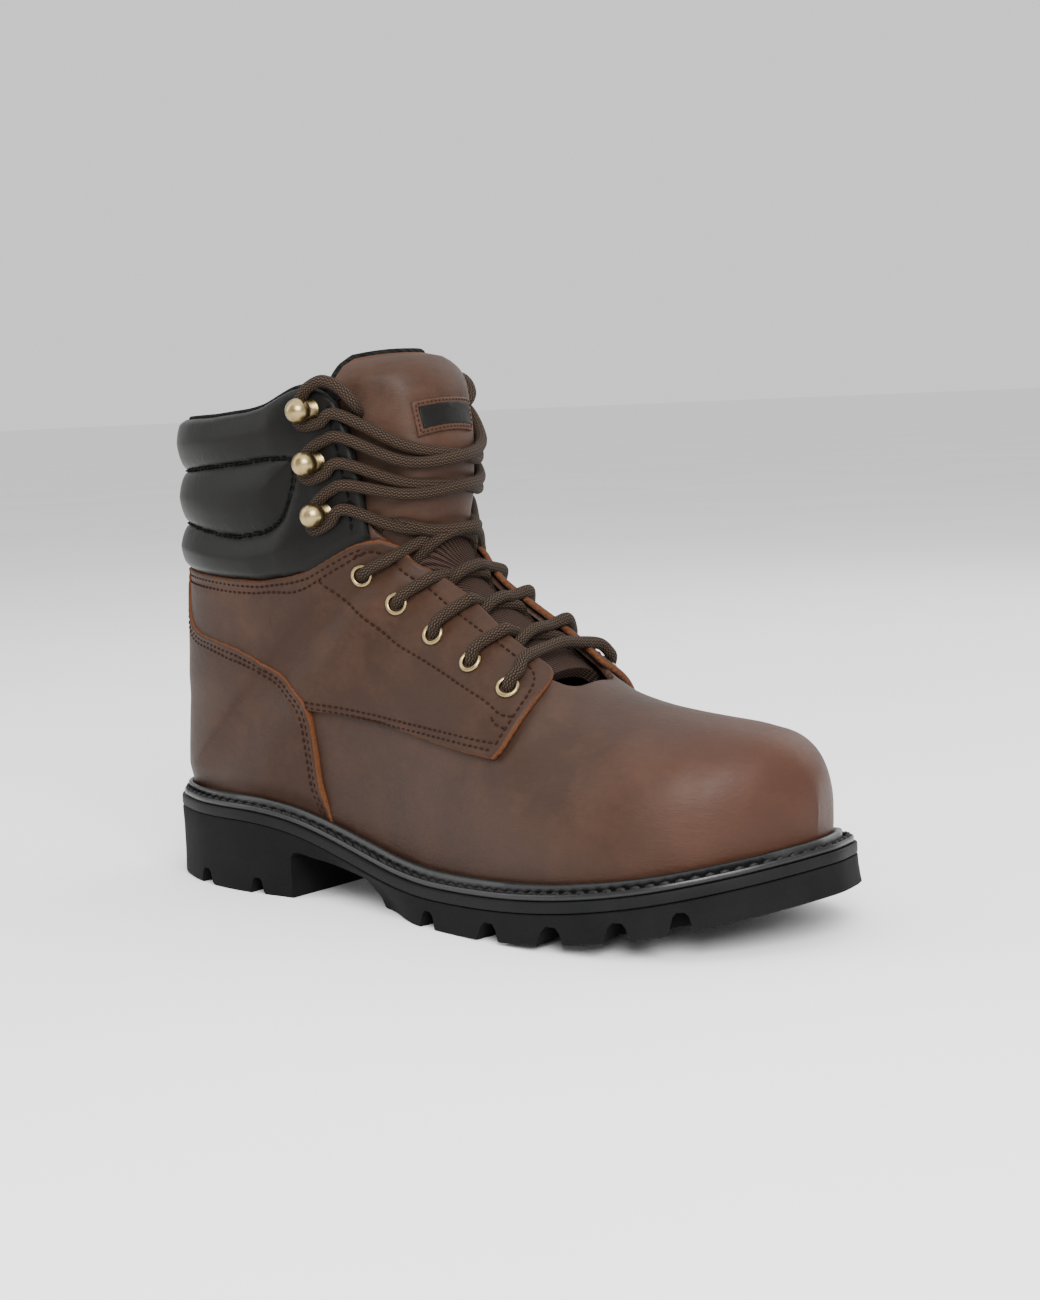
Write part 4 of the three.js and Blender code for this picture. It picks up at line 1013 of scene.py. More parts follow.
def rise_of(points):
    """How high points lie over the sole's top edge, of UPPER_RISE."""
    return (points[..., 2] - sole_top(points[..., 0]) - GAP) / UPPER_RISE


def swollen_edge(edge):
    """The small swelling just inside a cut edge, where the first stitches pull it up."""
    return EDGE_SWELL * hollow(edge - 1.3, 0.8)


def hidden_line():
    """Where the vamp's leather ends under the collar, from the back to the throat's top."""
    lines = [shifted(SHAFT, side * VAMP_TUCK) for side in (-1, 1)]
    middles = [rise_of(skin_at(line[len(line) // 2])) for line in lines]
    higher = lines[int(middles[0] < 0.6)]
    return np.concatenate([[(BACK_SEAM_U + 0.22, -1.0)], higher[6:-3]])


def make_upper(leather, lining):
    """The vamp with its toe, and the shaft under the overlays, in one leather."""
    hidden = hidden_line()
    top_u = hidden[0, 0]
    ridge = straight((0.0, 0.0), (THROAT_U, 0.0))
    bottom = straight((0.0, -1.0), (top_u, -1.0), 200)
    top = tied(ridge, THROAT_EDGE, hidden[-2:])
    under_throat = length_of(straight((0.0, -1.0), (UNDER_THROAT_U, -1.0))) / length_of(bottom)
    meet = ((0, length_of(ridge) / length_of(top), 1), (0, under_throat, 1))
    grid = patch(bottom, top, straight((0.0, -1.0), (0.0, 0.0)), hidden, 1.65, "t", meet)
    to_edge = Near(THROAT_EDGE)
    to_flap = Near(EYESTAY, FOOT_SEAM)
    toe_line = Near(straight((4.15, -1.0), (4.0, 0.0)))

    def outer(base, u, v):
        edge = to_edge(base)
        swell = 0.5 * waves(base, 70.0, 1) + 0.2 * waves(base, 24.0, 2)
        cap = 0.35 * hollow(toe_line(base), 5.0)
        press = 0.5 * hollow(to_flap(base), 2.5)
        on_edge = ramp(rise_of(base), 0.03, 0.1)
        return (swell - cap - press) * on_edge * ramp(edge, 0, 6) + WALL * (dome(edge, 1.2) - 1)

    points, faces, inside = shell([grid, mirrored(grid)], outer, level_at(-WALL))
    edge = edge_values(grid, to_edge, 0.0, 2) + 1.0
    piece("vamp_leather", points, faces, [leather, lining], "upper", ["upper"], {"edge": edge}, inside)


def level_at(height):
    return lambda base, u, v: np.full(u.shape, height)


def edge_values(grid, distance, back, copies=1):
    """At each point of shells over copies of a grid, the distance to the cut edges, and back behind."""
    front = distance(skin_at(grid)).ravel()
    return np.tile(np.concatenate([front, np.full(front.size, back)]), copies)


def leather_relief(base, lines):
    """Grooves along the stitching and a gentle unevenness."""
    uneven = 0.14 * waves(base, 46.0, 11) + 0.08 * waves(base, 17.0, 12)
    return uneven - THREAD_DEPTH * hollow(lines(base), THREAD_REACH)


QUARTER_TUCK = [(0.29, 0.285), (0.27, 0.34), (0.2, 0.385), (0.1, 0.41), (0.06, 0.47), (0.052, 0.6)]


def make_quarters(leather, back):
    """The two overlays that carry the eyelets, their backs tucked under the counter."""
    tucked = seam(QUARTER_TUCK, 8)
    top = np.concatenate([tucked[-1:], SHAFT[nearest(SHAFT, tucked[-1]) + 2:]])
    bottom = np.concatenate([tucked[:1], FOOT_SEAM[::-1][2:]])
    front = np.concatenate([bottom[-1:], EYESTAY[::-1][1:-1], top[-1:]])
    grid = patch(bottom, top, tucked, front, 1.3, "btr")
    to_edge = Near(SHAFT, EYESTAY, FOOT_SEAM)
    lines = Near(DIAGONAL, FLAP, *FEET, BOX, *SHAFT_SEWS)
    to_eyelets = Near(*(eyelet + straight((-0.001, 0.0), (0.001, 0.0), 4) for eyelet in EYELETS))

    def outer(base, u, v):
        edge = to_edge(base)
        dent = 0.35 * hollow(to_eyelets(base), 6.5)
        relief = leather_relief(base, lines) - dent
        return QUARTER_HEIGHT * dome(edge, EDGE_ROUND) + relief * ramp(edge, 0, 1.5) + swollen_edge(edge)

    for node, own in (("quarter_lateral", grid), ("quarter_medial", mirrored(grid))):
        points, faces, inside = shell([own], outer, level_at(-0.15))
        numbers = {"edge": edge_values(own, to_edge, 0.95)}
        piece(node + "_leather", points, faces, [leather, back], "quarter", [node], numbers, inside)


def counter_rise(base):
    """The counter's height over the surface: thicker where it overlaps the quarter, thin at its foot."""
    rise = rise_of(base)
    high = COUNTER_LOW + (COUNTER_HEIGHT - COUNTER_LOW) * ramp(rise, 0.24, 0.33)
    return high, 0.35 + 0.65 * ramp(rise, 0.03, 0.09)


def make_counter(leather, back):
    """The overlay round the heel, in one piece from side to side."""
    corner = nearest(COUNTER, placed([(0.319, 0.317)])[0])
    start = nearest(SHAFT, COUNTER[0])
    bottom = straight((COUNTER[-1, 0], -1.0), (HEEL_U, -1.0), 160)
    left = np.concatenate([bottom[:1], COUNTER[:corner - 1:-1][1:]])
    top = np.concatenate([COUNTER[corner::-1], SHAFT[start - 1:0:-1], [(BACK_SEAM_U, -1.0)]])
    right = straight((HEEL_U, -1.0), (BACK_SEAM_U, -1.0))
    grid = patch(bottom, top, left, right, 1.4, "lt")
    to_edge = Near(COUNTER, SHAFT[:start + 1])
    lines = Near(*COUNTER_SEWS, *SHAFT_SEWS)

    def outer(base, u, v):
        edge = to_edge(base)
        high, foot = counter_rise(base)
        full = high * foot * dome(edge, EDGE_ROUND) + swollen_edge(edge)
        return full + leather_relief(base, lines) * ramp(edge, 0, 1.5) * foot

    points, faces, inside = shell([grid, mirrored(grid)], outer, level_at(-0.2))
    numbers = {"edge": edge_values(grid, to_edge, 0.0, 2)}
    piece("heel_counter_leather", points, faces, [leather, back], "heel_counter", ["heel_counter"],
          numbers, inside)


COLLAR_FLAT = 2.3
COLLAR_PUFF = 4.0
COLLAR_TUCK = 1.1
PUFF_REACH = 13.0
COLLAR_RIM = 2.6


def collar_height(base, from_quilt, from_foot, from_rim):
    """Crowned puffs between the quilting, the seam at the foot and the rim, flat at the front."""
    x = base[..., 0] / SOLE_LENGTH
    seam_rise = np.interp(x, [row[0] for row in SHAFT_SEAM], [row[1] for row in SHAFT_SEAM])
    over_foot = np.where(rise_of(base) > seam_rise, from_foot, -from_foot)
    fade = 1 - 0.78 * ramp(x, 0.29, 0.355)
    near = np.minimum(np.minimum(from_quilt, np.maximum(over_foot, 0)), from_rim + 1.5)
    puff = COLLAR_PUFF * fade * dome(near, PUFF_REACH) ** 1.4
    return COLLAR_TUCK + (COLLAR_FLAT - COLLAR_TUCK) * ramp(over_foot, -0.5, 3.0) + puff \
        - 0.5 * hollow(from_quilt, 1.0) * fade


def make_collar(leather, lining):
    """The padded collar. Gives the rows of its stitches, with their heights."""
    under = inward(SHAFT, 4.0, QUARTER_MIDDLE)
    bottom = np.concatenate([[(under[6, 0], -1.0)], under[6:-2], FRONT[:1]])
    top = np.concatenate([[(TOP[0, 0], -1.0)], TOP[3:-1], FRONT[-1:]])
    grid = patch(bottom, top, straight(bottom[0], top[0]), FRONT, 0.95, "tr")
    to_quilt, to_foot = Near(QUILT), Near(SHAFT)
    to_rim, to_sew, to_top = Near(TOP, FRONT), Near(COLLAR_SEW), Near(TOP)

    def full(base, from_quilt):
        return collar_height(base, from_quilt, to_foot(base), to_top(base))

    def outer(base, u, v):
        height = full(base, to_quilt(base)) - 0.4 * hollow(to_sew(base), 1.1) + 0.25 * waves(base, 38.0, 21)
        return height - (height + WALL) * (1 - dome(to_rim(base), COLLAR_RIM)) * 0.55

    def inner(base, u, v):
        height = full(base, to_quilt(base))
        return -WALL + (height + WALL) * (1 - dome(to_rim(base), COLLAR_RIM)) * 0.449

    def stitch_heights(curve, lift, in_groove):
        base = skin_at(even(curve))
        heights = full(base, 0 * base[:, 0] if in_groove else to_quilt(base)) + lift
        return curve, (np.linspace(0, 1, len(heights)), heights)

    points, faces, inside = shell([grid, mirrored(grid)], outer, inner)
    base = skin_at(grid)
    numbers = {"seam": np.tile(np.minimum(to_quilt(base), to_rim(base)).ravel(), 4)}
    made = piece("padded_collar", points, faces, [leather, lining], "collar", ["collar"], numbers, inside)
    return [stitch_heights(QUILT, 1.2, True), stitch_heights(COLLAR_SEW, -0.05, False)]


def make_lining_rim(textile):
    """The lining's fuzzy edge, standing just over the collar's top."""
    line = even(tied(straight((TOP[0, 0], -1.0), TOP[3], 4), TOP[4:]), step=1.2)
    tubes = []
    for side in (1, -1):
        path = over_skin(line[:, 0], side * line[:, 1], np.full(len(line), -0.6)) + [0, 0, 0.2]
        tubes.append(strand_tube(path, 1.25, 8))
    points, faces, _ = joined(tubes)
    piece("collar_lining_edge", points, faces, [textile], "collar")


# Tongue: section u, half width in v and depth under the surface, as in the solid
TONGUE_COLUMNS = ("u", "half", "edge", "depth")
TONGUE_ROWS = [
    (7.8, 0.13, 0.06, 4.2), (9, 0.17, 0.08, 4.4), (10, 0.18, 0.09, 4.4), (11, 0.2, 0.11, 4.4),
    (12, 0.22, 0.13, 4.2), (13, 0.26, 0.15, 3.4), (14, 0.3, 0.19, 2.2), (15, 0.34, 0.23, 1),
    (16, 0.37, 0.27, 0.4), (18, 0.4, 0.3, 0), (20, 0.405, 0.32, 0), (21, 0.415, 0.34, 0.3),
    (21.5, 0.418, 0.36, 1.3), (21.9, 0.415, 0.37, 3.3), (22.2, 0.405, 0.38, 6.6),
    (22.4, 0.39, 0.38, 10.5), (22.5, 0.37, 0.38, 15),
]
TONGUE_THICKNESS = 4.5


def tongue_row(u):
    table = dict(zip(TONGUE_COLUMNS, np.array(TONGUE_ROWS, float).T))
    rows = np.interp(u, table["u"], np.arange(len(TONGUE_ROWS)))
    return row_at({key: table[key] for key in TONGUE_COLUMNS}, rows)


def tongue_depth(u, v):
    """How deep the tongue's face lies under the upper's surface."""
    row = tongue_row(u)
    under = WALL + 0.2 + 2 * GAP
    sides = np.clip((np.abs(v) / row["edge"] - 0.4) / 0.45, 0, 1)
    sides = sides * sides * (3 - 2 * sides)
    return np.maximum(row["depth"], row["depth"] + (under - row["depth"]) * sides)


def tongue_grid(low, high, across, margin_v=0.0):
    """Rows of the tongue between two sections, its sides held in by margin_v."""
    u = np.linspace(low, high, int((high - low) * 6) + 2)[:, None]
    half = tongue_row(u)["half"] - margin_v
    edge = np.array([0.91, 0.955, 0.985, 1])
    fractions = np.concatenate([-edge[::-1], np.linspace(-0.86, 0.86, across), edge])
    return np.stack(np.broadcast_arrays(u, half * fractions[None, :]), axis=-1)


def loop_of(grid):
    """The grid's four sides, to measure the distance from its edge."""
    return Near(grid[:, 0], grid[:, -1], grid[0], grid[-1], sides=(-1,))


TONGUE_LEATHER_FROM = 13.4
TONGUE_TOP = 22.5
TONGUE_TURN_IN = 1.6

# Soft folds over the tongue: section u, reach in u and depth
TONGUE_FOLDS = [(16.6, 0.25, 0.5), (14.3, 0.2, 0.4)]


def make_tongue(leather, mesh_cloth, rim_cloth):
    """A leather face over a padded body whose knitted edge shows around the top."""
    make_tongue_leather(leather, rim_cloth)
    make_tongue_body(mesh_cloth, rim_cloth)
    points, faces, _ = strand_tube(tongue_rim(), 1.9, 10)
    piece("tongue_knit_edge", points, faces, [rim_cloth], "tongue")


def make_tongue_leather(leather, back):
    grid = tongue_grid(TONGUE_LEATHER_FROM, TONGUE_TOP, 44, 0.012)
    to_edge = loop_of(grid)
    to_patch = Near(label_loop(0.0), sides=(-1,))

    def face(base, u, v):
        edge = to_edge(base)
        swell = 0.6 * waves(base, 42.0, 31) + 0.25 * waves(base, 15.0, 32)
        fold = sum(depth * hollow(u - place, reach) for place, reach, depth in TONGUE_FOLDS)
        pressed = 0.4 * hollow(to_patch(base), 1.0) + TONGUE_TURN_IN * (1 - dome(edge, 1.6))
        return 0.4 - tongue_depth(u, v) + (swell - fold) * ramp(edge, 0, 4) - pressed

    points, faces, inside = shell([grid], face, lambda base, u, v: -1.2 - tongue_depth(u, v))
    numbers = {"edge": edge_values(grid, to_edge, 0.0)}
    piece("tongue_leather", points, faces, [leather, back], "tongue", ["tongue"], numbers, inside)


def make_tongue_body(mesh_cloth, rim_cloth):
    grid = tongue_grid(TONGUE_ROWS[0][0], TONGUE_TOP, 40)
    to_side = Near(grid[:, 0], grid[:, -1], grid[-1], sides=(-1,))

    def face(base, u, v):
        covered = ramp(u, TONGUE_LEATHER_FROM - 0.15, TONGUE_LEATHER_FROM + 0.1)
        return -0.9 * covered - tongue_depth(u, v) - TONGUE_TURN_IN * (1 - dome(to_side(base), 2.4))

    def back(base, u, v):
        return -TONGUE_THICKNESS - tongue_depth(u, v) + 1.4 * (1 - dome(to_side(base), 2.4))

    points, faces, inside = shell([grid], face, back)
    body = piece("tongue_padding", points, faces, [mesh_cloth, rim_cloth], "tongue", ["tongue"], None, inside)


def tongue_rim():
    """The knitted edge's centre line: up one side, over the rolled top and down the other."""
    u = np.linspace(14.5, TONGUE_TOP, 46)
    half = tongue_row(u)["half"]
    across = np.linspace(-1, 1, 22)[1:-1]
    up = np.stack([u, -half], -1)
    over = np.stack([np.full(len(across), TONGUE_TOP), across * half[-1]], -1)
    down = np.stack([u, half], -1)[::-1]
    u, v = np.concatenate([up, over, down]).T
    return along_line(over_skin(u, v, -2.6 - tongue_depth(u, v)), 1.6)


# The tongue's patch, in sections u and in v
LABEL_LOW, LABEL_HIGH = 18.97, 20.47
LABEL_HALF_LOW, LABEL_HALF_HIGH = 0.114, 0.122
LABEL_MIDDLE = -0.02


def label_corners(inset):
    """Corners of the tongue's patch, moved in by a share of its size."""
    du = inset * 0.5 * (LABEL_HIGH - LABEL_LOW)
    low, high = (half * (1 - inset * 0.45) for half in (LABEL_HALF_LOW, LABEL_HALF_HIGH))
    return [(LABEL_LOW + du, LABEL_MIDDLE - low), (LABEL_HIGH - du, LABEL_MIDDLE - high),
            (LABEL_HIGH - du, LABEL_MIDDLE + high), (LABEL_LOW + du, LABEL_MIDDLE + low)]


def label_loop(inset):
    corners = label_corners(inset)
    sides = zip(corners, corners[1:] + corners[:1])
    return np.concatenate([*(straight(a, b, 16)[:-1] for a, b in sides), corners[:1]])


def make_label_layer(name, material, replaced, inset, top, foot, reach):
    """One flat layer of the patch, with rounded edges, lying on the tongue."""
    a, b, c, d = label_corners(inset)
    grid = patch(straight(a, d, 30), straight(b, c, 30), straight(a, b, 20), straight(d, c, 20), 0.9, "lrtb")
    to_edge = Near(label_loop(inset), sides=(-1,))

    def outer(base, u, v):
        uneven = 0.08 * waves(base, 9.0, 41)
        return top * dome(to_edge(base), reach) + 0.7 - tongue_depth(u, v) + uneven

    points, faces, inside = shell([grid], outer, lambda base, u, v: foot - tongue_depth(u, v))
    numbers = {"edge": edge_values(grid, lambda base: to_edge(base) + 0.5, 0.0)}
    piece(name, points, faces, [material, material], "tongue_patch", replaced, numbers, inside)


def make_label(leather, inset_cloth):
    """A plain patch: a stitched leather frame around a bare dark inset."""
    make_label_layer("tongue_patch_frame", leather, ["tongue_patch"], 0.0, 0.9, 0.2, 0.7)
    make_label_layer("tongue_patch_inset", inset_cloth, (), 0.34, 1.35, 0.5, 0.4)


# Brass fittings
def turned(profile, segments, place):
    """A closed profile (radius, height) turned round a place's normal."""
    centre, normal, along = place
    turn = np.linspace(0, 2 * math.pi, segments, endpoint=False)
    spoke = np.cos(turn)[:, None] * along + np.sin(turn)[:, None] * np.cross(normal, along)
    points = [centre + normal * height + spoke * radius for radius, height in profile]
    index = np.arange(len(profile) * segments).reshape(-1, segments)
    index = np.concatenate([index, index[:1]])
    return np.concatenate(points), quads_of(np.concatenate([index, index[:, :1]], axis=1))


def stand(spot, side, height):
    """Centre, normal and upward direction of a fitting on the surface."""
    u, v = spot[0], side * abs(spot[1])
    normal = skin_normal(u, v)
    upward = skin(u + 0.2, v) - skin(u - 0.2, v)
    across = np.cross(normal, upward)
    across /= np.linalg.norm(across)
    return skin(u, v) + normal * height, normal, np.cross(across, normal)


# Radius and height of the eyelet's flange and barrel
EYELET_PROFILE = [
    (4.5, -0.3), (4.52, 0.25), (4.32, 0.75), (3.95, 1.08), (3.5, 1.18), (3.1, 1.02), (2.8, 0.65),
    (2.62, 0.1), (2.6, -2.2), (3.0, -2.2), (3.05, -0.3),
]
EYELET_SEAT = 2.15
HOOK_SEAT = 2.5
BALL_RADIUS = 4.8
BALL_CENTRE = 7.6
NECK_RADIUS = 3.4
RIB_DEPTH = 0.16


def hook_profile():
    """A ball on a ribbed neck over a small flange."""
    profile = [(0.01, 0.0), (4.4, 0.0), (4.5, 0.3), (4.3, 0.7), (4.0, 0.95)]
    ribs = np.linspace(1.1, BALL_CENTRE - 3.5, 11)
    for i, height in enumerate(ribs):
        profile.append((NECK_RADIUS + 0.5 * (1 - i / 10) ** 2 + RIB_DEPTH * (i % 2), height))
    start = math.asin(NECK_RADIUS / BALL_RADIUS)
    for angle in np.linspace(math.pi - start, 0.002, 18):
        profile.append((BALL_RADIUS * math.sin(angle), BALL_CENTRE + BALL_RADIUS * math.cos(angle)))
    return profile


def make_fittings(metal):
    for name, side in (("lateral", -1), ("medial", 1)):
        for number, spot in enumerate(EYELETS, 1):
            node = f"eyelet_{name}_{number}"
            ring = turned(EYELET_PROFILE, 40, stand(spot, side, EYELET_SEAT))
            piece(node + "_ring", *ring, [metal], "eyelet", [node])
        for number, spot in enumerate(HOOKS, 1):
            node = f"hook_{name}_{number}"
            ball = turned(hook_profile(), 36, stand(spot, side, HOOK_SEAT))
            piece(node + "_ball", *ball, [metal], "hook", [node])


# Lace: its way over the surface, as (u, v, height of its centre)
LACE_UNDER = -4.6
LACE_ON_LEATHER = QUARTER_HEIGHT + LACE_DIAMETER / 2 + 0.1
LACE_ON_COLLAR = COLLAR_FLAT + LACE_DIAMETER / 2 + 0.2
HOOK_LOOP = NECK_RADIUS + LACE_DIAMETER / 2 + 0.1


def spot_near(spot, side, forward, upward):
    """(u, v) moved over the surface by millimetres towards the throat and up along it."""
    u, v = spot[0], side * abs(spot[1])
    du = np.linalg.norm(skin(u + 0.1, v) - skin(u - 0.1, v)) / 0.2
    dv = np.linalg.norm(skin(u, v + 0.01) - skin(u, v - 0.01)) / 0.02
    return u + upward / du, v - side * forward / dv


def route_by(spot, side, rows):
    """Rows of (forward, upward, height) from a fitting as points of the lace."""
    return [(*spot_near(spot, side, forward, upward), height) for forward, upward, height in rows]


def flap_reach(spot):
    """How far a place on the flap is from the flap's edge."""
    return float(np.linalg.norm(skin_at(EYESTAY) - skin_at(spot), axis=1).min())


# The lace at its fittings: millimetres forward and up from them, and height of its centre
INTO_EYELET = [(6.5, -1.0, LACE_ON_LEATHER + 0.5), (2.8, -0.4, 4.7), (0.5, 0.0, 2.0), (0.0, 0.0, -1.5)]
TO_HOOK = [(13.0, -6.5, LACE_ON_COLLAR + 0.1), (5.0, -6.9, LACE_ON_COLLAR - 0.3)]
FROM_HOOK = [(6.0, 6.3, LACE_ON_COLLAR - 0.3), (14.5, 3.6, LACE_ON_COLLAR + 0.1)]
TUCKED_END = [
    (1.5, 7.6, LACE_ON_COLLAR - 0.3), (8.0, 8.6, LACE_ON_COLLAR), (14.0, 5.0, LACE_ON_COLLAR),
    (17.8, -1.0, LACE_ON_COLLAR - 0.6), (19.2, -6.0, 1.0), (17.5, -10.0, -4.5), (12.0, -14.0, -6.0),
]
FLAP_SLOPE = 0.9


def through_eyelet(spot, side):
    """From over the flap down into an eyelet."""
    return route_by(spot, side, INTO_EYELET)


def under_flap(spot, side):
    """From an eyelet's underside to the flap's edge, on the way to the other side."""
    reach = 0.8 * flap_reach(spot)
    return route_by(spot, side, [(1.5, 0.3, LACE_UNDER), (reach, reach * FLAP_SLOPE, LACE_UNDER)])


def tongue_top_height(u, v):
    return float(LACE_DIAMETER / 2 + 0.5 - tongue_depth(np.array([u]), np.array([v]))[0])


def over_throat(start, end, lift, stops, middle_u=None, raised=0.0):
    """Points between two spots over the tongue, the middle one lifted where the strands cross."""
    points = []
    for share in stops:
        u = start[0] + (end[0] - start[0]) * share
        if middle_u is not None:
            bow = 1 - (2 * share - 1) ** 2
            u += (middle_u - (start[0] + end[0]) / 2) * bow
        v = start[1] + (end[1] - start[1]) * share
        rest = tongue_top_height(u, v)
        points.append((u, v, rest + lift * (1 - 1.6 * abs(share - 0.5)) + raised))
    return points


def round_hook(spot, side):
    """Round the back of a hook's neck, from its lower side to its upper one."""
    rows = []
    for angle in np.radians([75, 35, 0, -35, -75]):
        rows.append((-math.cos(angle) * HOOK_LOOP, -math.sin(angle) * HOOK_LOOP, LACE_ON_COLLAR - 0.5))
    return route_by(spot, side, rows)


def eyelet_strand(low, high, side, lift):
    """From a lower eyelet's underside to the outside of the next one up on the other side."""
    start = under_flap(low, side)
    reach = flap_reach(high)
    over_edge = route_by(high, -side, [
        (reach + 1.5, -0.25 * reach, LACE_ON_LEATHER - 0.9),
        (reach - 2.0, -0.22 * reach, LACE_ON_LEATHER + 0.1),
    ])
    crossing = over_throat(start[-1], over_edge[0], lift, (0.25, 0.5, 0.75))
    return [*start, *crossing, *over_edge, *through_eyelet(high, -side)]


# The ridge sections where the strands cross between the levels of hooks, from the bottom up
HOOK_CROSSINGS = [13.8, 16.1, 17.7]


def hook_strand(start, hook, side, lift, middle_u):
    """To a hook on one side from a point on the other."""
    end = spot_near(hook, side, 17.0, -6.0)
    crossing = over_throat(start, end, lift, (0.25, 0.5, 0.78), middle_u)
    return [*crossing, *route_by(hook, side, TO_HOOK), *round_hook(hook, side)]


def lace_half(side, lift):
    """One end of the lace from the lowest eyelet on a side to its tucked end."""
    levels = EYELETS[::-1]
    points = []
    for low, high in zip(levels[:-1], levels[1:]):
        points += eyelet_strand(low, high, side, lift)
        side = -side
        lift = -lift
    points += under_flap(levels[-1], side)
    onwards = (FROM_HOOK, FROM_HOOK, TUCKED_END)
    for hook, middle_u, rows in zip(HOOKS, HOOK_CROSSINGS, onwards):
        side = -side
        points += hook_strand(points[-1], hook, side, max(lift, 0), middle_u)
        points += route_by(hook, side, rows)
        lift = -lift
    return points


def lace_path():
    """The whole lace: up one side from its middle, the bar over the lowest eyelets, and the other."""
    lowest = EYELETS[-1]
    on_edge = [(flap_reach(lowest), 1.0, LACE_ON_LEATHER + 0.1)]
    start, end = (route_by(lowest, side, on_edge) for side in (-1, 1))
    crossing = over_throat(start[0], end[0], 1.0, (0.3, 0.5, 0.7), None, 2.4)
    bar = [*through_eyelet(lowest, -1)[::-1], *start, *crossing, *end, *through_eyelet(lowest, 1)]
    route = [*lace_half(-1, 2.1)[::-1], *bar, *lace_half(1, -1.9)]
    u, v, height = np.array(route).T
    return smooth_path(over_skin(u, v, height), 0.8)


def make_lace(cord):
    points, faces, uv = strand_tube(lace_path(), LACE_DIAMETER / 2, 18)
    piece("lace_cord", points, faces, [cord], "lace", ["lace"], cord_uv=uv)


def outline_stations():
    """Where the sole's layers are cut across, in rows of PLAN, closer together at heel and toe."""
    runs = [(0, 17.01, 0.125), (0, 1.5, 0.04), (15.5, 17.01, 0.04)]
    return np.unique(np.concatenate([np.arange(*run) for run in runs]).round(4))


STATIONS = outline_stations()


def sole_layer(profile, stations=STATIONS):
    """A layer lofted over the outline: profile gives (inset, height) at x, from the top edge down."""
    sides = []
    for side in (-1, 1):
        x = plan_point(stations, side, np.zeros(len(stations)))[:, 0]
        columns = []
        for inset, height in profile:
            inset = inset(x) if callable(inset) else np.full(len(x), float(inset))
            p = plan_point(stations, side, inset)
            columns.append(np.column_stack([p, height(p[:, 0])]))
        sides.append(np.stack(columns, axis=1))
    rings = np.concatenate([sides[0], sides[1][:, ::-1]], axis=1)
    count = rings.shape[1]
    index = np.arange(rings.shape[0] * count).reshape(-1, count)
    index = np.concatenate([index, index[:, :1]], axis=1)
    faces = [list(face) for face in quads_of(index)[:, ::-1]]
    faces += [list(index[0, :-1]), list(index[-1, :-1][::-1])]
    return rings.reshape(-1, 3), faces


def raw_object(name, points, faces):
    """An object in the design's millimetres, to be cut or to cut with."""
    mesh = bpy.data.meshes.new(name)
    mesh.from_pydata(np.asarray(points).tolist(), [], [list(map(int, face)) for face in faces])
    work = bmesh.new()
    work.from_mesh(mesh)
    bmesh.ops.remove_doubles(work, verts=work.verts, dist=WELD)
    bmesh.ops.recalc_face_normals(work, faces=work.faces)
    work.to_mesh(mesh)
    work.free()
    made = bpy.data.objects.new(name, mesh)
    bpy.context.scene.collection.objects.link(made)
    return made


def cut(body, cutter):
    """Cuts the body by another object, which is used up."""
    modifier = body.modifiers.new("cut", "BOOLEAN")
    modifier.operation = "DIFFERENCE"
    modifier.solver = "EXACT"
    modifier.object = cutter
    result = bpy.data.meshes.new_from_object(body.evaluated_get(bpy.context.evaluated_depsgraph_get()))
    body.modifiers.clear()
    body.data = result
    bpy.data.objects.remove(cutter)


# Side notches between the lugs: x of SOLE_LENGTH and width in millimetres
NOTCHES = [
    (0.122, 13), (0.228, 10), (0.549, 12), (0.657, 16), (0.752, 16), (0.835, 13), (0.898, 11),
]
# A notch's section: across of its width, up of LUG_DEPTH
NOTCH_SECTION = [(-0.55, -1), (0.55, -1), (0.25, 1), (-0.25, 1)]
NOTCH_SOFTENING = 0.12
# The arch between heel and tread: millimetres from the breast or from the tread's start, and height
ARCH_FROM_TREAD = [(1, 4.8), (-1, 9.5), (-4, 12.9)]
ARCH_FROM_BREAST = [(12, 17.1), (4.5, 18.6), (1.5, 18.2), (0, 16.5)]
LUG_DEPTH = 6.5
LUG_RIM = 17.0
TREAD_GROOVE = 5.0
BLOCK_SLANT = 0.22
HEEL_BREAST = 0.288
TREAD_START = 0.43
ARCH_HEIGHT = 19.0
WAIST_UNDERCUT = 10.0
SIDE_FLARE = 1.2
MIDSOLE_THICKNESS = 4.0
# The outsole's side from its top down: share of low_inset, inset beside it, share of the thickness
SIDE_ROWS = [
    (0, 0.5, 1), (0, 0, 0.965), (0.35, 0.25, 0.7), (0.8, 0.25, 0.3), (1, 0, 0.04), (1, 0.7, 0),
]
# The midsole's side: inset and drop under the sole's top edge
MIDSOLE_ROWS = [(0.5, 0.0), (0.1, -0.3), (0.0, -0.8), (0.0, -3.4), (0.15, -3.8), (0.5, -MIDSOLE_THICKNESS)]
# Stretches of the outline, in rows of PLAN, with a cut tread under them
TREADS = [(2, 5), (9, 14.5)]


def plan_row_at(x, side):
    """The row of PLAN, with its fraction, at an x on one side."""
    rows = np.linspace(0, len(PLAN) - 1, 2000)
    return float(np.interp(x, plan_point(rows, side, np.zeros(2000))[:, 0], rows))


def prism(section, basis, depth):
    """A closed section (a, b) pushed along the third axis of a basis."""
    origin, across, up, run = basis
    near = [origin + across * a + up * b for a, b in section]
    far = [p + run * depth for p in near]
    count = len(section)
    faces = [list(range(count))[::-1], list(range(count, 2 * count))]
    faces += [[i, (i + 1) % count, count + (i + 1) % count, count + i] for i in range(count)]
    return np.array(near + far), faces


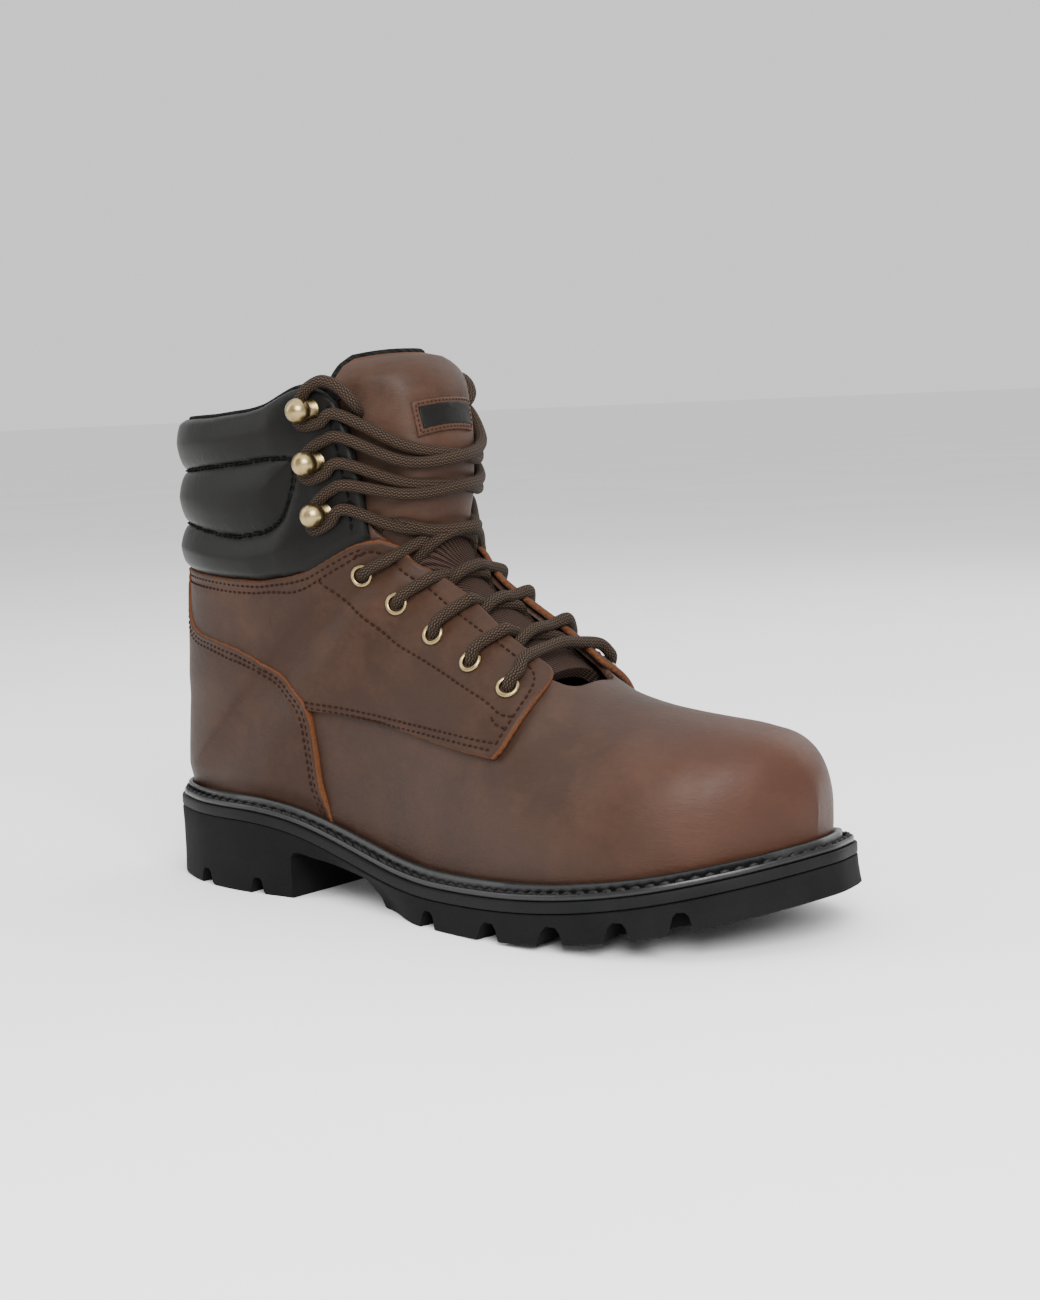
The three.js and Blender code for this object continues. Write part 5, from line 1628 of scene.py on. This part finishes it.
def notch_shape(x, width, side):
    """A notch's cutter, from outside the sole in to the lugs' rim, its inner corners softened."""
    u = plan_row_at(x * SOLE_LENGTH, side)
    start, end = (plan_point([u], side, [inset])[0] for inset in (-TREAD_GROOVE, LUG_RIM))
    run = np.array([*(end - start), 0.0])
    depth = np.linalg.norm(run)
    run /= depth
    up = np.array([0.0, 0.0, 1.0])
    soft = NOTCH_SOFTENING * width
    foot_left, foot_right, top_right, top_left = (
        np.array([across * width, up_share * LUG_DEPTH]) for across, up_share in NOTCH_SECTION)
    section = [
        foot_left, foot_right, top_right - [0, soft], top_right - [soft, 0],
        top_left + [soft, 0], top_left - [0, soft],
    ]
    origin = np.array([*start, spring(start[0])])
    return prism(section, (origin, np.cross(up, run), up, run), depth)


def all_joined(shapes):
    """Several shapes as one, to cut with."""
    points, faces, start = [], [], 0
    for own_points, own_faces in shapes:
        points.append(own_points)
        faces += [[int(k) + start for k in face] for face in own_faces]
        start += len(own_points)
    return np.concatenate(points), faces


def tread_blocks():
    """Slanting blocks between the notches, left standing in the middle of the tread."""
    shapes = []
    for (near, _), (far, _) in zip(NOTCHES[:-1], NOTCHES[1:]):
        length = (far - near) * SOLE_LENGTH - 1.4 * TREAD_GROOVE
        x = (near + far) / 2 * SOLE_LENGTH
        for side in (-1, 1):
            reach = abs(plan_point([plan_row_at(x, side)], side, [LUG_RIM + TREAD_GROOVE])[0][1])
            width = reach - TREAD_GROOVE / 2
            turn = side * BLOCK_SLANT
            across = np.array([math.cos(turn), math.sin(turn), 0])
            over = np.array([-math.sin(turn), math.cos(turn), 0])
            centre = np.array([x, side * (TREAD_GROOVE + width) / 2, spring(x) - 2 * LUG_DEPTH])
            section = [(a * length / 2, b * width / 2) for a, b in ((-1, -1), (1, -1), (1, 1), (-1, 1))]
            shapes.append(prism(section, (centre, across, over, np.array([0.0, 0.0, 1.0])), 4 * LUG_DEPTH))
    return all_joined(shapes)


def low_inset(x):
    """How far the sole's foot lies inside its outline: in at the waist, out at the tread."""
    share = np.asarray(x, float) / SOLE_LENGTH
    waist = WAIST_UNDERCUT * ramp(share, 0.29, 0.37) * (1 - ramp(share, 0.42, 0.54))
    return waist - SIDE_FLARE * ramp(share, 0.5, 0.7)


def sole_side(share, inset):
    """A line of the outsole's side: share of low_inset, and inset beside it."""
    return lambda x: share * low_inset(x) + inset


def sole_level(share):
    """A share of the outsole's thickness over the ground."""
    return lambda x: spring(x) + (sole_top(x) - MIDSOLE_THICKNESS - GAP - spring(x)) * share


def arch_cutter():
    breast, start = HEEL_BREAST * SOLE_LENGTH, TREAD_START * SOLE_LENGTH
    section = [(breast, -ARCH_HEIGHT), (start + 2, -ARCH_HEIGHT)]
    section += [(start + along, height) for along, height in ARCH_FROM_TREAD]
    section += [(breast + along, height) for along, height in ARCH_FROM_BREAST]
    forward, inward_y, up = np.eye(3)
    return prism(section, (BALL_WIDTH * inward_y, forward, up, -inward_y), 2 * BALL_WIDTH)


def make_outsole(compound):
    """The lugged sole: a loft with its arch, side notches and tread cut away."""
    profile = [(sole_side(share, inset), sole_level(level)) for share, inset, level in SIDE_ROWS]
    body = raw_object("outsole_body", *sole_layer(profile))
    cut(body, raw_object("arch", *arch_cutter()))
    for x, width in NOTCHES:
        for side in (-1, 1):
            cut(body, raw_object("notch", *notch_shape(x, width, side)))
    blocks = tread_blocks()
    for low, high in TREADS:
        tread = [(LUG_RIM, lambda x: spring(x) + LUG_DEPTH), (LUG_RIM, lambda x: spring(x) - LUG_DEPTH)]
        stations = STATIONS[(STATIONS >= low) & (STATIONS <= high)]
        field = raw_object("field", *sole_layer(tread, stations))
        cut(field, raw_object("blocks", *blocks))
        cut(body, field)
    points = np.array([vertex.co for vertex in body.data.vertices])
    faces = [list(polygon.vertices) for polygon in body.data.polygons]
    bpy.data.objects.remove(body)
    piece("lugged_outsole", points, faces, [compound], "outsole", ["outsole"])


def under_top(lift):
    """A line at a height over the sole's top edge, or under it."""
    return lambda x: sole_top(x) + lift


def make_midsole(compound):
    profile = [(inset, under_top(drop)) for inset, drop in MIDSOLE_ROWS]
    piece("midsole_band", *sole_layer(profile), [compound], "midsole", ["midsole"])


WELT_SETBACK = 1.2
WELT_THICKNESS = 2.2
WELT_RIM_WIDTH = 3.2
WELT_RIM_HEIGHT = 5.2
WELT_CLEARANCE = 1.1
# The welt's section: millimetres inwards from a line of it, and height over the midsole
WELT_ROWS = [
    ("edge", 0.2, 0.0), ("edge", 0.0, 0.5), ("edge", 0.0, 1.6), ("edge", 0.3, 2.1),
    ("edge", 0.75, WELT_THICKNESS), ("channel", -0.75, 1.35), ("channel", 0.7, 1.3), ("foot", 0.1, 2.0),
    ("rise", 0.0, 3.3), ("crown", -1.9, 4.5), ("crown", -1.4, 4.95), ("crown", -0.7, WELT_RIM_HEIGHT),
    ("crown", -0.15, 5.0), ("crown", 0.0, 4.5), ("inner", 0.0, 0.0),
]
# Pitch, radius and share of the pitch, height over the midsole
WELT_STITCH = (5.2, 1.0, 0.9)
WELT_STITCH_HEIGHT = 2.1


def foot_bulge(x, side):
    """How far the upper swells over its feather edge by the top of the welt's rim."""
    rows = np.linspace(0, FIRST_CLOSED - 1, 1500)
    feet = row_at(SECTIONS, rows)["foot"] * SOLE_LENGTH
    u = np.interp(-x, -feet, rows)
    row = row_at(SECTIONS, u)
    foot, ridge = section_ends(row)
    t = (WELT_RIM_HEIGHT + GAP) / np.linalg.norm(ridge - foot, axis=-1)
    gained = half_width(row, side, t) - half_width(row, side, 0 * t)
    return np.minimum(gained, WELT_RIM_HEIGHT)


def welt_loop(count=720):
    s = np.linspace(0, len(OUTLINE), count, endpoint=False)
    points = plan_loop(s, np.zeros(count))
    side = np.where(s <= len(PLAN) - 1, -1, 1)
    bulge = foot_bulge(points[:, 0], side) + GAP
    spread = np.hanning(15)
    padded = np.concatenate([bulge[-7:], bulge, bulge[:7]])
    return s, np.convolve(padded, spread / spread.sum(), mode="valid")


def make_welt(compound, sewing):
    """The storm welt: a flange with its stitched channel and a rim raised against the upper."""
    s, bulge = welt_loop()
    inner = margin(plan_loop(s, 0 * s)[:, 0]) - WELT_CLEARANCE
    foot = inner - WELT_RIM_WIDTH
    middle = (WELT_SETBACK + foot) / 2
    crown = np.maximum(inner - bulge, WELT_SETBACK + 3.6)
    rise = foot + 0.45 * (crown - 1.9 - foot)
    starts = {
        "edge": WELT_SETBACK, "channel": middle, "foot": foot, "rise": rise, "crown": crown,
        "inner": inner,
    }
    rings = []
    for start, inset, height in WELT_ROWS:
        p = plan_loop(s, np.broadcast_to(starts[start] + inset, s.shape))
        rings.append(np.column_stack([p, sole_top(p[:, 0]) + GAP + height]))
    rings = np.stack(rings, axis=1)
    index = np.arange(rings.shape[0] * rings.shape[1]).reshape(rings.shape[:2])
    index = np.concatenate([index, index[:1]])
    index = np.concatenate([index, index[:, :1]], axis=1)
    piece("storm_welt", rings.reshape(-1, 3), quads_of(index)[:, ::-1], [compound], "welt", ["welt"])
    channel = plan_loop(s, middle)
    spots = np.column_stack([channel, sole_top(channel[:, 0]) + GAP + WELT_STITCH_HEIGHT])
    spots = np.concatenate([spots, spots[:1]])
    points, faces = stitch_row(spots, np.tile([0.0, 0.0, 1.0], (len(spots), 1)), *WELT_STITCH, 5)
    piece("welt_stitching", np.array(points), faces, [sewing], "welt")


# The insole's side: inset from the upper's wall and height over the midsole
INSOLE_CLEARANCE = 1.6
INSOLE_ROWS = [(1.0, 3.5), (0.0, 3.0), (0.0, 0.0)]


def make_insole(cloth):
    def from_wall(inset):
        return lambda x: margin(x) + WALL + INSOLE_CLEARANCE + inset

    profile = [(from_wall(inset), under_top(GAP + height)) for inset, height in INSOLE_ROWS]
    piece("insole_board", *sole_layer(profile), [cloth], "insole", ["insole"])


# Camera at the photo's angle: aimed at a point of the boot, turned, tipped and rolled
CAMERA_AIM = np.array([150.0, 0.0, 90.0])
CAMERA_AWAY = 856.6
CAMERA_ASIDE = (22.5, 5.3)
CAMERA_TURN = math.radians(39.0)
CAMERA_TIP = math.radians(6.33)
CAMERA_ROLL = math.radians(-2.43)
CAMERA_LENS = 61.5
CAMERA_FILM = 36.0


def make_camera():
    level = Vector((math.sin(CAMERA_TURN), -math.cos(CAMERA_TURN), 0))
    back = level * math.cos(CAMERA_TIP) + Vector((0, 0, math.sin(CAMERA_TIP)))
    right = (-back).cross(Vector((0, 0, 1))).normalized()
    up = right.cross(-back)
    aim = Vector(CAMERA_AIM + ORIGIN)
    place = (aim + back * CAMERA_AWAY + right * CAMERA_ASIDE[0] + up * CAMERA_ASIDE[1]) * MM
    turned_right = right * math.cos(CAMERA_ROLL) + up * math.sin(CAMERA_ROLL)
    turned_up = up * math.cos(CAMERA_ROLL) - right * math.sin(CAMERA_ROLL)
    data = bpy.data.cameras.new("camera")
    data.lens = CAMERA_LENS
    data.sensor_width = CAMERA_FILM
    camera = bpy.data.objects.new("camera", data)
    matrix = camera.matrix_world.to_3x3()
    for column, axis in enumerate((turned_right, turned_up, back)):
        for row in range(3):
            matrix[row][column] = axis[row]
    camera.matrix_world = matrix.to_4x4()
    camera.location = place
    bpy.context.scene.collection.objects.link(camera)
    bpy.context.scene.camera = camera


# Lamps in metres and watts: name, place, width and height, power
LAMPS = [
    ("key", (0.95, -0.8, 0.85), (0.9, 0.8), 40.0),
    ("left", (-0.95, -0.7, 0.65), (0.5, 1.1), 5.0),
    ("overhead", (0.0, -0.1, 1.5), (2.4, 2.0), 24.0),
    ("far_side", (0.3, 1.2, 0.8), (1.4, 0.9), 8.0),
]
LAMP_AIM = Vector((0.0, 0.0, 0.08))
SKY_STRENGTH = 1.0
FLOOR_REACH = 60.0


def make_light(name, place, size, power):
    data = bpy.data.lights.new(name, "AREA")
    data.shape = "RECTANGLE"
    data.size, data.size_y = size
    data.energy = power
    light = bpy.data.objects.new(name, data)
    light.location = place
    light.rotation_euler = (LAMP_AIM - Vector(place)).to_track_quat("-Z", "Y").to_euler()
    bpy.context.scene.collection.objects.link(light)


def make_studio():
    """A white surround, four soft lamps and a pale floor."""
    world = bpy.data.worlds.new("studio")
    world.use_nodes = True
    background = world.node_tree.nodes["Background"]
    background.inputs["Color"].default_value = (1, 1, 1, 1)
    background.inputs["Strength"].default_value = SKY_STRENGTH
    bpy.context.scene.world = world
    for lamp in LAMPS:
        make_light(*lamp)
    paint = Paint("pale_floor", Roughness=0.9, Specular_IOR_Level=0.1)
    dark, pale = FLOOR_SHADES
    paint.feed("Base Color", paint.shades(paint.noise(3.0, 2.0), (0.3, dark), (0.7, pale)))
    mesh = bpy.data.meshes.new("floor")
    corners = [(a * FLOOR_REACH, b * FLOOR_REACH, 0) for a, b in ((-1, -1), (1, -1), (1, 1), (-1, 1))]
    mesh.from_pydata(corners, [], [(0, 1, 2, 3)])
    mesh.materials.append(paint.material)
    floor = bpy.data.objects.new("floor", mesh)
    bpy.context.scene.collection.objects.link(floor)


# Pitch and radius of the stitches in millimetres
LEATHER_STITCH = (2.9, 0.47)
COLLAR_STITCH = (3.1, 0.42)
PATCH_STITCH = (1.9, 0.36)


def make_seams(sewing, dark_sewing, patch_sewing, collar_rows):
    """All stitching of the upper, a mesh for each piece that it sews."""
    sunk = THREAD_LIFT - THREAD_DEPTH
    on_quarter = QUARTER_HEIGHT + sunk
    rows = [(DIAGONAL, on_quarter), (FLAP, on_quarter), (BOX, on_quarter)]
    rows += [(line, on_quarter) for line in (*FEET, *SHAFT_SEWS)]
    stitched("quarter_stitching", rows, sewing, "quarter", *LEATHER_STITCH)
    rows = []
    for line in COUNTER_SEWS:
        high, foot = counter_rise(skin_at(line))
        rows.append((line, (np.linspace(0, 1, len(line)), (high + sunk) * foot)))
    stitched("counter_stitching", rows, sewing, "heel_counter", *LEATHER_STITCH)
    stitched("collar_stitching", collar_rows, dark_sewing, "collar", *COLLAR_STITCH)
    loop = label_loop(0.17)
    heights = 1.55 - tongue_depth(*even(loop).T)
    rows = [(loop, (np.linspace(0, 1, len(heights)), heights))]
    stitched("patch_stitching", rows, patch_sewing, "tongue_patch", *PATCH_STITCH, sides=(1,))


make_camera()
vamp = brown_leather("vamp_brown", *VAMP_BROWN)
brown = brown_leather("quarter_brown", *QUARTER_BROWN)
tongue_brown = brown_leather("tongue_brown", *TONGUE_BROWN)
black = collar_leather()
lining = knit("lining_knit", *LINING_KNIT)
gusset = knit("gusset_mesh", *GUSSET_MESH)
sewing = thread("brown_thread", *BROWN_THREAD)
black_sewing = thread("black_thread", *BLACK_THREAD)
welt_sewing = thread("waxed_thread", *WAXED_THREAD)
patch_sewing = thread("red_brown_thread", *PATCH_THREAD)
side_rubber = rubber("sole_rubber", *SOLE_RUBBER)
band_rubber = rubber("band_rubber", *BAND_RUBBER)
welt_rubber = rubber("welt_rubber", *WELT_RUBBER)

make_outsole(side_rubber)
make_midsole(band_rubber)
make_welt(welt_rubber, welt_sewing)
make_insole(lining)
make_upper(vamp, lining)
make_quarters(brown, lining)
make_counter(brown, lining)
collar_rows = make_collar(black, lining)
make_lining_rim(lining)
make_tongue(tongue_brown, gusset, lining)
make_label(tongue_brown, black)
make_fittings(brass())
make_lace(braid())
make_seams(sewing, black_sewing, patch_sewing, collar_rows)
make_studio()
